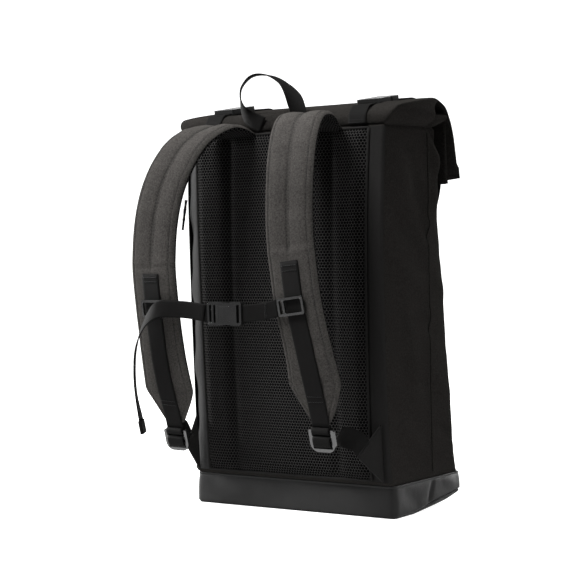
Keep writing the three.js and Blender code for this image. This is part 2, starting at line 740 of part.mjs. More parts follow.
// Webbing from an adjuster's lower bar back to the hem of the sewn triangle
function makeLowerWebbing(name) {
  const side = SIDES[name];
  const { top, bottom, point } = tabCorners(side);
  const hem = top.clone().sub(point);
  const hemShare = WEBBING_WIDTH / 2 / hem.length();
  const end = point.clone().addScaledVector(hem, hemShare);
  const across = hem.clone().normalize();
  const toBottom = bottom.clone().sub(end);
  const away = across.clone().multiplyScalar(toBottom.dot(across)).sub(toBottom).normalize();
  const lock = lockFrame(name);
  const start = pointIn(lock, 0, -LOCK_THICKNESS / 2 - 5 * GAP, 2);
  const leave = end.clone().addScaledVector(away, LOWER_LEAD);
  const bend = new THREE.Vector3(-side * LOWER_BEND.in, 0, LOWER_BEND.up);
  const middle = start.clone().lerp(leave, 0.5).add(bend);
  end.addScaledVector(away, 2 * GAP + TAB_THICKNESS / 2);
  const curve = new THREE.CatmullRomCurve3([start, middle, leave, end]);
  const route = curve.getPoints(12);
  const first = new THREE.Vector3(side, 0, 0.1);
  const turns = route.map((_, index) => {
    const share = THREE.MathUtils.smoothstep(index / 12, 0, 0.75);
    return first.clone().lerp(across.clone(), share).normalize();
  });
  const backwards = pointIn(lock, 0, -1, 0).sub(pointIn(lock, 0, 0, 0));
  return ribbon(route, turns, WEBBING_WIDTH, WEBBING_THICKNESS, { first: backwards });
}

// Frame of a chest-strap slider: it lies on the strap's webbing
function sliderFrame(name) {
  const stations = strapStations(name);
  const { frame, thick } = stations[SLIDER_ROW * STRAP_STEPS];
  const out = thick / 2 + 2 * GAP + WEBBING_THICKNESS + SLIDER_THICKNESS / 2;
  return frame.clone().setPosition(pointIn(frame, 0, out, 0));
}

// Slider: a frame as wide as the webbing, with a loop for the chest strap on its inner side
function makeSlider(name) {
  const side = SIDES[name];
  const window = WEBBING_WIDTH - 1;
  const left = -window / 2 - SLIDER_BAR;
  const full = window + 3 * SLIDER_BAR + SLIDER_LOOP;
  const slotHeight = SLIDER_HEIGHT - 2 * SLIDER_BAR;
  const loop = left + 2 * SLIDER_BAR + window;
  const shape = roundedRectangle(new THREE.Shape(), left, -SLIDER_HEIGHT / 2, full, SLIDER_HEIGHT, 3);
  shape.holes = [
    roundedRectangle(new THREE.Path(), left + SLIDER_BAR, -slotHeight / 2, window, slotHeight, 1.5),
    roundedRectangle(new THREE.Path(), loop, -slotHeight / 2, SLIDER_LOOP, slotHeight, 1),
  ];
  const turn = new THREE.Matrix4().makeRotationX(Math.PI / 2);
  if (side > 0) turn.premultiply(new THREE.Matrix4().makeRotationY(Math.PI));
  return plate(shape, SLIDER_THICKNESS).applyMatrix4(sliderFrame(name).multiply(turn));
}

// Inner edge of a slider, where its half of the chest strap starts
function sliderEdge(name) {
  const side = SIDES[name];
  const reach = WEBBING_WIDTH / 2 + 2 * SLIDER_BAR + SLIDER_LOOP;
  return pointIn(sliderFrame(name), -side * (reach + 2 * GAP), 0, 0);
}

// Middle of the chest buckle, between the two sliders
function sternumMiddle() {
  const left = sliderEdge('left');
  const right = sliderEdge('right');
  return new THREE.Vector3(0, (left.y + right.y) / 2, (left.z + right.z) / 2 - STERNUM_SAG);
}

// Middle line of one half of the chest strap, from its slider to the buckle
function sternumCurve(name) {
  const side = SIDES[name];
  const start = sliderEdge(name);
  const end = sternumMiddle();
  end.x = side * (STERNUM_BUCKLE_LENGTH / 2 + GAP);
  const middle = start.clone().lerp(end, 0.5).add(new THREE.Vector3(0, 0, STERNUM_BEND[name]));
  return new THREE.CatmullRomCurve3([start, middle, end]);
}

function makeSternumWebbing(name) {
  const route = sternumCurve(name).getPoints(6);
  const across = route.map(() => new THREE.Vector3(0, 0, 1));
  const inwards = new THREE.Vector3(-SIDES[name], 0, 0);
  return ribbon(route, across, STERNUM_WIDTH, WEBBING_THICKNESS, { first: inwards, last: inwards });
}

function tailFrames() {
  const webbing = sternumCurve('left');
  const lying = TAIL_ON_WEBBING.map(({ share, lift }) => {
    const point = webbing.getPoint(share);
    return point.setY(point.y - lift * WEBBING_THICKNESS);
  });
  const slider = new THREE.Vector3().setFromMatrixPosition(sliderFrame('left'));
  const hanging = TAIL_ROWS.map((values) => {
    const row = named(TAIL_COLUMNS, values);
    return new THREE.Vector3(row.right, -row.front, row.up).multiplyScalar(TAIL_DROP).add(slider);
  });
  const points = [...lying, ...hanging];
  const route = new THREE.CatmullRomCurve3(points).getPoints((points.length - 1) * TAIL_STEPS);
  const turns = [...lying.map(() => [0]), ...TAIL_ROWS.map((values) => [named(TAIL_COLUMNS, values).turn])];
  const across = route.map((_, index) => {
    const angle = THREE.MathUtils.degToRad(rowAt(['turn'], turns, index / TAIL_STEPS).turn);
    const backwards = new THREE.Vector3(-0.59, 0.81, 0);
    return new THREE.Vector3(0, 0, Math.cos(angle)).addScaledVector(backwards, Math.sin(angle));
  });
  return framesAlong(route, across);
}

function makeTail() {
  const outline = rectangle(STERNUM_WIDTH, WEBBING_THICKNESS);
  return sweep(tailFrames().map((frame) => ({ outline, frame })));
}

// Folded and stitched end of the tail
function makeTailTip() {
  const frame = tailFrames().at(-1);
  const outline = rectangle(STERNUM_WIDTH + 1, TIP_THICKNESS);
  const ends = [GAP, GAP + TIP_LENGTH];
  return sweep(ends.map((along) => ({
    outline,
    frame: frame.clone().setPosition(pointIn(frame, 0, 0, along)),
  })));
}

// Side-release buckle in its own plane: x along the strap, y across it. The plug's two arms lie beside the
// body's neck.
function buckleShapes(length, strapWidth) {
  const half = strapWidth / 2 + BUCKLE_MARGIN;
  const neck = half * 0.6;
  const shoulder = length * 0.16;
  const neckStart = -length * 0.16;
  const slot = strapWidth + 1;
  const body = new THREE.Shape();
  body.moveTo(neckStart, -neck);
  body.lineTo(shoulder, -neck);
  body.lineTo(shoulder, -half);
  body.lineTo(length / 2 - BUCKLE_BAR, -half);
  body.absarc(length / 2 - BUCKLE_BAR, -half + BUCKLE_BAR, BUCKLE_BAR, -Math.PI / 2, 0);
  body.lineTo(length / 2, half - BUCKLE_BAR);
  body.absarc(length / 2 - BUCKLE_BAR, half - BUCKLE_BAR, BUCKLE_BAR, 0, Math.PI / 2);
  body.lineTo(shoulder, half);
  body.lineTo(shoulder, neck);
  body.lineTo(neckStart, neck);
  const bodySlot = length / 2 - BUCKLE_BAR - BUCKLE_SLOTS.body;
  body.holes = [roundedRectangle(new THREE.Path(), bodySlot, -slot / 2, BUCKLE_SLOTS.body, slot, 1)];
  const plug = new THREE.Shape();
  const arm = neck + GAP;
  const armOuter = half - 1;
  const reach = shoulder - GAP;
  plug.moveTo(-length / 2, -half + 2);
  plug.lineTo(-length / 2 + 2, -half);
  plug.lineTo(neckStart, -half);
  plug.lineTo(reach, -armOuter);
  plug.lineTo(reach, -arm);
  plug.lineTo(neckStart - GAP, -arm);
  plug.lineTo(neckStart - GAP, arm);
  plug.lineTo(reach, arm);
  plug.lineTo(reach, armOuter);
  plug.lineTo(neckStart, half);
  plug.lineTo(-length / 2 + 2, half);
  plug.lineTo(-length / 2, half - 2);
  plug.holes = [0, 1].map((index) => {
    const x = -length / 2 + BUCKLE_BAR + index * (BUCKLE_SLOTS.plug + BUCKLE_BAR);
    return roundedRectangle(new THREE.Path(), x, -slot / 2, BUCKLE_SLOTS.plug, slot, 1);
  });
  return { body, plug };
}

// Buckle halves of the chest strap: the plug is on the left
function makeSternumBuckle(part) {
  const shape = buckleShapes(STERNUM_BUCKLE_LENGTH, STERNUM_WIDTH)[part];
  const frame = new THREE.Matrix4().makeBasis(
    new THREE.Vector3(1, 0, 0), new THREE.Vector3(0, 0, 1), new THREE.Vector3(0, -1, 0),
  ).setPosition(sternumMiddle());
  return plate(shape, BUCKLE_THICKNESS).applyMatrix4(frame);
}

// Start and end of a closure buckle on the top sheet, as shares of its plateau
function closureBuckleLine() {
  const line = rollSurface(GAP + BUCKLE_THICKNESS / 2);
  const [back, front] = [line[2], line[3]];
  const along = front.clone().sub(back).normalize();
  const start = back.clone().addScaledVector(along, CLOSURE_LEAD);
  return { start, end: start.clone().addScaledVector(along, CLOSURE_BUCKLE_LENGTH), along };
}

function makeClosureBuckle(name, part) {
  const { start, end, along } = closureBuckleLine();
  const shape = buckleShapes(CLOSURE_BUCKLE_LENGTH, WEBBING_WIDTH)[part];
  const middle = start.clone().lerp(end, 0.5);
  const forward = new THREE.Vector3(0, along.x, along.y);
  const across = new THREE.Vector3(-1, 0, 0);
  const up = new THREE.Vector3().crossVectors(forward, across);
  const frame = new THREE.Matrix4().makeBasis(forward, across, up)
    .setPosition(CLOSURE_PLACES[name], middle.x, middle.y);
  return plate(shape, BUCKLE_THICKNESS).applyMatrix4(frame);
}

function closureRibbon(name, line) {
  const route = line.map((point) => new THREE.Vector3(CLOSURE_PLACES[name], point.x, point.y));
  const across = route.map(() => new THREE.Vector3(1, 0, 0));
  return ribbon(route, across, WEBBING_WIDTH, WEBBING_THICKNESS);
}

// Place on the webbing's middle below a place on the buckle's middle
function belowBuckle(point, along) {
  const drop = (BUCKLE_THICKNESS - WEBBING_THICKNESS) / 2;
  return new THREE.Vector2(point.x + along.y * drop, point.y - along.x * drop);
}

// Short webbing from the back seam up to the buckle
function makeClosureBack(name) {
  const line = rollSurface(GAP + WEBBING_THICKNESS / 2);
  const { start, along } = closureBuckleLine();
  const reach = belowBuckle(start, along).addScaledVector(along, -2 * GAP);
  const foot = line[0].clone().lerp(line[1], 0.1);
  return closureRibbon(name, [foot, line[1], line[2], reach]);
}

// Long webbing from the buckle over the ridge, down the flap and back to the front panel
function makeClosureFront(name) {
  const line = rollSurface(GAP + WEBBING_THICKNESS / 2);
  const { end, along } = closureBuckleLine();
  const start = belowBuckle(end, along).addScaledVector(along, 2 * GAP);
  const over = line.slice(4);
  const mouth = over.at(-1);
  const inner = Math.abs(CLOSURE_PLACES[name]) - WEBBING_WIDTH / 2;
  const onFront = (z) => new THREE.Vector2(frontFace(z, inner) + 2 * GAP + WEBBING_THICKNESS, z);
  const hang = [
    new THREE.Vector2(mouth.x - 0.02 * CLOSURE_HANG, mouth.y - 0.14 * CLOSURE_HANG),
    new THREE.Vector2(mouth.x - 0.12 * CLOSURE_HANG, mouth.y - 0.36 * CLOSURE_HANG),
    onFront(mouth.y - 0.58 * CLOSURE_HANG),
    onFront(mouth.y - CLOSURE_HANG),
  ];
  return closureRibbon(name, [start, ...over, ...hang]);
}

// Loop of webbing sewn to the back seam between the straps
function makeHandle() {
  const points = HANDLE_ROWS.map((values) => {
    const row = named(HANDLE_COLUMNS, values);
    const back = backFace(SEAM_HEIGHT) - GAP - WEBBING_THICKNESS / 2 - HANDLE_LEAN * row.lean;
    return new THREE.Vector3(row.across * HANDLE_HALF_WIDTH, back, SEAM_HEIGHT + HANDLE_RISE * row.rise);
  });
  const steps = (points.length - 1) * 2;
  const route = new THREE.CatmullRomCurve3(points, false, 'centripetal').getPoints(steps);
  const across = route.map((_, index) => {
    const before = route[Math.max(index - 1, 0)];
    const after = route[Math.min(index + 1, steps)];
    const tangent = after.clone().sub(before).normalize();
    const { turn } = rowAt(HANDLE_COLUMNS, HANDLE_ROWS, index / 2);
    const edge = THREE.MathUtils.degToRad(turn);
    const foot = THREE.MathUtils.clamp((Math.min(index, steps - index) - 1) / 5, 0, 1);
    const radial = new THREE.Vector3(-tangent.z, 0, tangent.x);
    const deep = new THREE.Vector3(-Math.sin(edge), Math.cos(edge), 0);
    return radial.multiplyScalar(1 - foot).addScaledVector(deep, foot).normalize();
  });
  return ribbon(route, across, HANDLE_WIDTH, WEBBING_THICKNESS);
}

// Zip tape on the left side, behind the fold
function zipSurface(z, share, lift) {
  const outline = bodyOutline(bodyRow(z));
  const point = outline[2].clone().lerp(outline[3], share);
  return new THREE.Vector3(-point.x - lift, point.y, z);
}

function makeSideZip() {
  const outline = bodyOutline(bodyRow((ZIP_BOTTOM + ZIP_TOP) / 2));
  const span = outline[2].distanceTo(outline[3]);
  const [from, to] = [ZIP_INSET / span, (ZIP_INSET + ZIP_WIDTH) / span];
  const rings = levelsBetween(ZIP_BOTTOM, ZIP_TOP).map((z) => [
    zipSurface(z, from, GAP),
    zipSurface(z, to, GAP),
    zipSurface(z, to, GAP + STRIP_THICKNESS),
    zipSurface(z, from, GAP + STRIP_THICKNESS),
  ]);
  const cap = [[0, 1, 2], [0, 2, 3]];
  return loft(rings, [cap, cap]);
}

function makeZipPull() {
  const lift = GAP + STRIP_THICKNESS + GAP + PULL_WIDTH / 2;
  const route = [0, 0.5, 1].map((share) => {
    const z = PULL_TOP - share * PULL_LENGTH;
    const swing = new THREE.Vector3(-PULL_SWING, -PULL_SWING / 2, 0).multiplyScalar(share);
    return zipSurface(z, PULL_PLACE, lift).add(swing);
  });
  const across = route.map(() => new THREE.Vector3(0, 1, 0));
  return ribbon(route, across, PULL_WIDTH, PULL_WIDTH);
}

const MATERIALS = {
  canvas: { color: 0x2b2927, roughness: 0.85, metalness: 0 },
  coated: { color: 0x2c2c2d, roughness: 0.5, metalness: 0 },
  mesh: { color: 0x151515, roughness: 0.95, metalness: 0 },
  padding: { color: 0x38342f, roughness: 0.9, metalness: 0 },
  webbing: { color: 0x222223, roughness: 0.7, metalness: 0 },
  plastic: { color: 0x101011, roughness: 0.3, metalness: 0 },
};

const group = new THREE.Group();

function add(name, geometry, material) {
  const mesh = new THREE.Mesh(geometry, new THREE.MeshStandardMaterial(MATERIALS[material]));
  mesh.name = name;
  group.add(mesh);
}

add('base', makeBase(), 'coated');
add('sack', makeSack(), 'canvas');
add('roll_top', makeRollTop(), 'canvas');
add('back_pad', makeBackPad(), 'mesh');
add('haul_handle', makeHandle(), 'webbing');
add('side_zip', makeSideZip(), 'webbing');
add('zip_pull', makeZipPull(), 'webbing');
add('sternum_tail', makeTail(), 'webbing');
add('sternum_tail_tip', makeTailTip(), 'webbing');
add('sternum_buckle_body', makeSternumBuckle('body'), 'plastic');
add('sternum_buckle_plug', makeSternumBuckle('plug'), 'plastic');
for (const [name, side] of Object.entries(SIDES)) {
  add(`edge_strip_${name}`, makeEdgeStrip(side), 'canvas');
  add(`shoulder_strap_${name}`, makeStrap(name), 'padding');
  add(`strap_webbing_${name}`, makeStrapWebbing(name), 'webbing');
  add(`ladder_lock_${name}`, makeLadderLock(name), 'plastic');
  add(`lower_webbing_${name}`, makeLowerWebbing(name), 'webbing');
  add(`anchor_tab_${name}`, makeTab(side), 'canvas');
  add(`sternum_slider_${name}`, makeSlider(name), 'plastic');
  add(`sternum_webbing_${name}`, makeSternumWebbing(name), 'webbing');
  add(`closure_back_webbing_${name}`, makeClosureBack(name), 'webbing');
  add(`closure_front_webbing_${name}`, makeClosureFront(name), 'webbing');
  add(`closure_buckle_body_${name}`, makeClosureBuckle(name, 'body'), 'plastic');
  add(`closure_buckle_plug_${name}`, makeClosureBuckle(name, 'plug'), 'plastic');
}

export default group;
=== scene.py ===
import json
import math

import bmesh
import bpy
import numpy as np
from mathutils import Matrix, Vector

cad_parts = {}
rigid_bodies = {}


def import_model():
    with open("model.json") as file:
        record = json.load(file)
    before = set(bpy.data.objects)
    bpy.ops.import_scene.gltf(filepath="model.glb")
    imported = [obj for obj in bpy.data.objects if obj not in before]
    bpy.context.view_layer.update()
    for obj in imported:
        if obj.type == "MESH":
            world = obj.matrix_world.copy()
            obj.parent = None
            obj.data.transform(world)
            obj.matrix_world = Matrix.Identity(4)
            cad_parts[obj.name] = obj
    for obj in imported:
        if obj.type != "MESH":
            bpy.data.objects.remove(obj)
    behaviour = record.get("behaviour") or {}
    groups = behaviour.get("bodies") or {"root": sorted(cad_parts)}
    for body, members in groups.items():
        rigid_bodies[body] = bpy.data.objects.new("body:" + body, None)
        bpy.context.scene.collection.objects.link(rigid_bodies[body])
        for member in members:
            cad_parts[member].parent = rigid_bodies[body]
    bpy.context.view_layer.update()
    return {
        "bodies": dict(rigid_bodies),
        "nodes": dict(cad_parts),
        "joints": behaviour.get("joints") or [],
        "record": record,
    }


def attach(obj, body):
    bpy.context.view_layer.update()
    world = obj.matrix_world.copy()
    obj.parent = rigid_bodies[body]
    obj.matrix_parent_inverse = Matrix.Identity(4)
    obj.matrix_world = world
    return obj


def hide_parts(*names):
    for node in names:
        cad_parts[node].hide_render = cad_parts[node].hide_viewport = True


# Camera
CAMERA_AZIMUTH = 36.3
CAMERA_ELEVATION = 2.0
CAMERA_ROLL = -1.4
CAMERA_DISTANCE = 2.188
CAMERA_SHIFT = (-0.039, 0.0129)
CAMERA_AIM = (0.0, 0.0, 0.25)
CAMERA_LENS = 107.69

# Body
WIDTH = 0.300
DEPTH = 0.155
SEAM_HEIGHT = 0.462
CANVAS_WALL = 0.003
BACK_BULGE = 0.010
CORNER_RADIUS = 0.008
FOLD_BACK_SHARE = 0.575
FOLD_WIDTH = 0.007
CREASE_WIDTH = 0.0045
BACK_CORNER = 0.003
FOLD_DEPTH = 0.006
SIDE_BULGE = 0.003
FRONT_BOW = 0.005
PUFF = 0.007
HALF_WIDTH = WIDTH / 2
HALF_DEPTH = DEPTH / 2

# Base
BASE_HEIGHT = 0.039
BASE_WALL = 0.003
BASE_CORNER = 0.006
BASE_FRONT_SHARE = 0.99
BASE_LAP = 0.014
SEAM_GROOVE = 0.0034
RIDGE_BOTTOM = 0.046
RIDGE_RADIUS = 0.0011
CANVAS_SPREAD = 0.002

# Roll top
ROLL_RISE = 0.036
FLAP_DROP = 0.097
FLAP_STANDOFF = 0.079
FLAP_TUCK = 0.003
ROLL_CORNER = 0.0035

# Back panel
PAD_THICKNESS = 0.0075
PAD_BOTTOM = 0.044
PAD_TOP = 0.460
PAD_LOW_SHARE = 0.81
PAD_HIGH_SHARE = 0.86
CHANNEL_OFFSET = 0.076
CHANNEL_WIDTH = 0.018
CHANNEL_DEPTH = 0.004

# Shoulder straps and their webbing
STRAP_WIDTH = 0.066
STRAP_THICKNESS = 0.012
STRAP_REACH = 0.118
STRAP_GROOVE = 0.004
WEBBING_WIDTH = 0.025
WEBBING_THICKNESS = 0.0015
WEBBING_RUN = 0.009
LOCK_HEIGHT = 0.027
LOCK_THICKNESS = 0.0035
TAB_THICKNESS = 0.002
TAB_HEIGHT = 0.069
TAB_REACH = 0.038
TAB_LEAN = 0.011
TAB_CLEARANCE = 0.0012

# Chest strap
STERNUM_WIDTH = 0.020
STERNUM_BEND = {"left": 0.0015, "right": -0.001}
STERNUM_SAG = 0.006
SLIDER_BAR = 0.0028
SLIDER_LOOP = 0.004
SLIDER_THICKNESS = 0.003
STERNUM_BUCKLE_LENGTH = 0.050
TAIL_DROP = 0.134
TIP_LENGTH = 0.016
TIP_THICKNESS = 0.004

# Closure straps, handle and zip
CLOSURE_PLACES = {"left": -0.693 * HALF_WIDTH, "right": 0.753 * HALF_WIDTH}
CLOSURE_BUCKLE_LENGTH = 0.046
CLOSURE_LEAD = 0.015
CLOSURE_HANG = 0.100
BUCKLE_THICKNESS = 0.0065
HANDLE_WIDTH = 0.020
HANDLE_RISE = 0.069
HANDLE_HALF_WIDTH = 0.043
HANDLE_LEAN = 0.004
ZIP_WIDTH = 0.012
ZIP_BOTTOM = 0.070
ZIP_TOP = 0.430
PULL_TOP = 0.383
PULL_LENGTH = 0.038
PULL_WIDTH = 0.004

GAP = 0.0003
STRIP_THICKNESS = 0.0012
STRIP_TURN = 0.004
SIDES = {"left": -1, "right": 1}

# Sections of the body, bottom to top: shares of the seam height, back bulge, half width, side bulge, fold
# depth, half width of the front, half depth, puff and front bow.
BODY_COLUMNS = ("height", "back", "side", "ridge", "valley", "corner", "front", "puff", "bow")
BODY_ROWS = (
    (0.089, 0.3, 0.985, 0.2, 0.1, 0.965, 0.99, 0.0, 0.4),
    (0.13, 0.45, 0.975, 0.4, 0.6, 0.95, 0.99, 0.0, 0.7),
    (0.277, 0.75, 0.97, 0.8, 1.0, 0.93, 0.98, 0.0, 1.0),
    (0.463, 0.95, 0.97, 1.0, 1.0, 0.92, 0.9, 0.1, 1.0),
    (0.57, 1.0, 0.972, 0.9, 0.9, 0.92, 0.85, 0.0, 1.0),
    (0.677, 1.0, 0.975, 1.0, 0.9, 0.92, 0.79, 0.1, 0.9),
    (0.77, 0.95, 0.98, 0.9, 0.7, 0.92, 0.71, 0.2, 0.6),
    (0.83, 0.85, 0.985, 0.7, 0.1, 0.93, 0.66, 0.5, 0.3),
    (0.92, 0.65, 0.99, 0.4, 0.0, 0.95, 0.6, 1.0, 0.1),
    (1.0, 0.45, 1.0, 0.0, 0.0, 0.95, 0.545, 0.4, 0.0),
)

# Sections of the roll top, each from the outer to the inner sheet: shares of the half depth or the flap's
# standoff, of the roll's rise, the flap's drop, the half width and the gusset's depth.
ROLL_COLUMNS = ("outer", "rise", "drop", "inner", "inner_rise", "inner_drop", "half", "gusset")
ROLL_ROWS = (
    (-1.055, 0.36, 0.0, 0.555, 0.2, 0.0, 1.07, 0.0),
    (-0.95, 0.64, 0.0, 0.58, 0.31, 0.0, 1.09, 0.0),
    (-0.15, 0.89, 0.0, 0.61, 0.38, 0.0, 1.07, 0.1),
    (0.31, 1.0, 0.0, 0.645, 0.38, 0.0, 1.035, 0.2),
    (0.6, 1.0, 0.1, 0.67, 0.33, 0.0, 1.033, 0.2),
    (0.8, 1.0, 0.31, 0.69, 0.2, 0.0, 1.02, 0.22),
    (0.9, 1.0, 0.475, 0.7, 1.0, 0.445, 1.013, 0.45),
    (0.97, 1.0, 0.75, 0.7, 1.0, 0.75, 1.013, 0.7),
    (1.02, 1.0, 1.0, 0.7, 1.0, 1.08, 1.013, 1.0),
)
# Fold of the roll's side at each of its sections, from the outer to the inner sheet: four shares of the
# section's length, and the depth of each inwards in metres.
ROLL_FOLDS = (
    ((0.36, 0.75, 0.80, 0.90), (0.0, 0.0, 0.007, 0.004)),
    ((0.36, 0.72, 0.78, 0.90), (0.0, 0.0, 0.012, 0.008)),
    ((0.22, 0.44, 0.56, 0.82), (0.0, 0.0, 0.020, 0.014)),
    ((0.10, 0.20, 0.48, 0.84), (0.0, 0.001, 0.024, 0.012)),
    ((0.10, 0.18, 0.48, 0.84), (0.0, 0.001, 0.026, 0.008)),
    ((0.10, 0.18, 0.50, 0.86), (0.0, 0.001, 0.026, 0.006)),
    ((0.12, 0.20, 0.50, 0.84), (0.0, 0.001, 0.026, 0.004)),
    ((0.10, 0.18, 0.50, 0.88), (0.0, 0.001, 0.024, 0.003)),
    ((0.08, 0.15, 0.50, 0.90), (0.0, 0.001, 0.020, 0.002)),
)

# Route of each strap: shares of the seam height, reach, half width and of the strap's own sizes.
STRAP_COLUMNS = ("height", "out", "across", "width", "thick", "groove")
STRAP_ROWS = {
    "left": (
        (0.9935, 0.04, 0.433, 0.9, 0.46, 0.3),
        (0.998, 0.12, 0.437, 0.92, 0.7, 0.6),
        (1.006, 0.22, 0.447, 0.96, 0.85, 1.0),
        (1.009, 0.356, 0.473, 1.0, 1.0, 1.0),
        (0.998, 0.51, 0.507, 1.0, 1.0, 1.0),
        (0.972, 0.66, 0.56, 1.0, 1.0, 1.0),
        (0.926, 0.797, 0.613, 1.0, 1.0, 1.0),
        (0.855, 0.91, 0.673, 1.0, 1.0, 1.0),
        (0.768, 0.975, 0.713, 1.0, 1.0, 1.0),
        (0.671, 1.0, 0.73, 1.0, 1.0, 0.8),
        (0.636, 1.0, 0.73, 1.0, 1.0, 0.0),
        (0.548, 0.968, 0.728, 1.0, 1.0, 0.0),
        (0.487, 0.932, 0.73, 1.0, 1.0, 0.0),
        (0.411, 0.864, 0.743, 1.03, 1.0, 0.0),
        (0.329, 0.78, 0.75, 1.12, 0.8, 0.0),
        (0.281, 0.712, 0.76, 0.75, 0.5, 0.0),
        (0.243, 0.67, 0.763, 0.42, 0.35, 0.0),
    ),
    "right": (
        (0.9935, 0.04, 0.413, 0.9, 0.46, 0.3),
        (1.003, 0.12, 0.42, 0.92, 0.7, 0.6),
        (1.017, 0.22, 0.433, 0.96, 0.85, 1.0),
        (1.026, 0.356, 0.453, 1.0, 1.0, 1.0),
        (1.019, 0.51, 0.473, 1.0, 1.0, 1.0),
        (0.991, 0.65, 0.503, 1.0, 1.0, 1.0),
        (0.942, 0.771, 0.533, 1.0, 1.0, 1.0),
        (0.866, 0.873, 0.563, 1.0, 1.0, 1.0),
        (0.768, 0.915, 0.573, 1.0, 1.0, 1.0),
        (0.7, 0.924, 0.585, 1.0, 1.0, 0.8),
        (0.665, 0.924, 0.597, 1.0, 1.0, 0.0),
        (0.556, 0.9, 0.63, 1.0, 1.0, 0.0),
        (0.487, 0.864, 0.66, 1.0, 1.0, 0.0),
        (0.422, 0.814, 0.68, 1.03, 1.0, 0.0),
        (0.359, 0.763, 0.693, 1.12, 0.8, 0.0),
        (0.303, 0.712, 0.697, 0.75, 0.5, 0.0),
        (0.265, 0.678, 0.697, 0.42, 0.35, 0.0),
    ),
}
STRAP_STEPS = 8
TACK_ROW = 10
SLIDER_ROW = 11
END_ROW = 14
STRAP_SECTION = ((0.25, 0.5), (0.44, 0.42), (0.5, 0.1), (0.5, -0.25), (0.42, -0.5))

# Handle loop: shares of the half width, rise and lean, and the turn of the webbing in degrees.
HANDLE_ROWS = (
    (-0.6, 0.12, 0.0, 0),
    (-1.05, 0.28, 0.8, 14),
    (-1.22, 0.42, 1.0, 28),
    (-1.3, 0.62, 1.0, 36),
    (-1.26, 0.78, 1.0, 36),
    (-1.0, 0.94, 1.0, 34),
    (-0.68, 1.0, 1.0, 28),
    (-0.2, 0.96, 1.0, 12),
    (0.26, 0.8, 1.0, 0),
    (0.55, 0.58, 1.0, 0),
    (0.72, 0.32, 0.9, 6),
    (0.8, 0.12, 0.0, 0),
)

# Free end of the chest strap: first on the webbing (share of its length, lift in thicknesses), then shares
# of the tail's drop to the right, front and up of the left slider, and the webbing's turn in degrees.
TAIL_ON_WEBBING = ((0.92, 1.2), (0.5, 1.2), (0.12, 1.9))
TAIL_ROWS = (
    (0.113, 0.058, -0.007, 20),
    (-0.006, 0.088, -0.119, 60),
    (-0.118, 0.084, -0.321, 85),
    (-0.17, 0.062, -0.552, 90),
    (-0.178, 0.039, -0.776, 88),
    (-0.155, 0.01, -1.0, 50),
)


# Numbers and curves


def blend_rows(rows, place):
    low = min(int(place), len(rows) - 2)
    share = place - low
    return tuple(a + (b - a) * share for a, b in zip(rows[low], rows[low + 1]))


def soft_step(value, low, high):
    share = np.clip((value - low) / (high - low), 0, 1)
    return share * share * (3 - 2 * share)


def blur(values, sigma, axis, wrap=False):
    """values smoothed along one axis; sigma is in samples"""
    if sigma <= 0:
        return values
    reach = max(1, int(sigma * 3))
    weights = np.exp(-0.5 * (np.arange(-reach, reach + 1) / sigma) ** 2)
    weights /= weights.sum()
    moved = np.moveaxis(np.asarray(values, float), axis, 0)
    if wrap:
        padded = np.concatenate([moved[-reach:], moved, moved[:reach]])
    else:
        first = 2 * moved[:1] - moved[1:reach + 1][::-1]
        last = 2 * moved[-1:] - moved[-reach - 1:-1][::-1]
        padded = np.concatenate([first, moved, last])
    out = sum(w * padded[i:i + len(moved)] for i, w in enumerate(weights))
    return np.moveaxis(out, 0, axis)


def densify(points, counts, closed=False):
    """Points of a polyline with counts[i] samples on its segment i"""
    points = np.asarray(points, float)
    ends = np.roll(points, -1, axis=0) if closed else points[1:]
    out = []
    for start, end, count in zip(points, ends, counts):
        shares = (np.arange(count) / count).reshape(-1, *[1] * (points.ndim - 1))
        out.append(start + (end - start) * shares)
    if not closed:
        out.append(points[-1:])
    return np.concatenate(out)


def curve_through(points, count):
    """Smooth curve of count + 1 points through the given ones"""
    points = np.asarray(points, float)
    steps = np.linalg.norm(np.diff(points, axis=0), axis=1) ** 0.5
    times = np.concatenate([[0], np.cumsum(steps)])
    places = np.interp(np.linspace(0, len(points) - 1, count + 1), np.arange(len(points)), times)
    slopes = np.gradient(points, times, axis=0)
    index = np.clip(np.searchsorted(times, places, side="right") - 1, 0, len(points) - 2)
    span = (times[index + 1] - times[index])[:, None]
    u = (places[:, None] - times[index][:, None]) / span
    a, b = points[index], points[index + 1]
    ma, mb = slopes[index] * span, slopes[index + 1] * span
    return (a * (2 * u**3 - 3 * u**2 + 1) + ma * (u**3 - 2 * u**2 + u)
            + b * (3 * u**2 - 2 * u**3) + mb * (u**3 - u**2))


def inset(outline, distance):
    """Closed outline moved inwards, corner by corner"""
    outline = np.asarray(outline, float)
    before = outline - np.roll(outline, 1, axis=0)
    after = np.roll(outline, -1, axis=0) - outline
    a = before / np.linalg.norm(before, axis=1)[:, None]
    b = after / np.linalg.norm(after, axis=1)[:, None]
    normal = np.stack([-a[:, 1] - b[:, 1], a[:, 0] + b[:, 0]], axis=1)
    normal /= np.linalg.norm(normal, axis=1)[:, None]
    cosine = np.maximum(0.4, normal[:, 0] * -a[:, 1] + normal[:, 1] * a[:, 0])
    return outline + normal * (distance / cosine)[:, None]


def unit(vector):
    return vector / np.linalg.norm(vector)


def frames_along(points, across, first=None, last=None):
    """Axes at each point of a route: across the band, out of its face and along it"""
    points = np.asarray(points, float)
    tangents = np.gradient(points, axis=0)
    if first is not None:
        tangents[0] = first
    if last is not None:
        tangents[-1] = last
    frames = []
    for point, tangent, side in zip(points, tangents, across):
        z = unit(tangent)
        x = unit(np.asarray(side, float) - z * np.dot(side, z))
        frames.append((point, x, np.cross(z, x), z))
    return frames


def in_frame(frame, x, y, z=0.0):
    point, ax, ay, az = frame
    return point + ax * x + ay * y + az * z


# Meshes


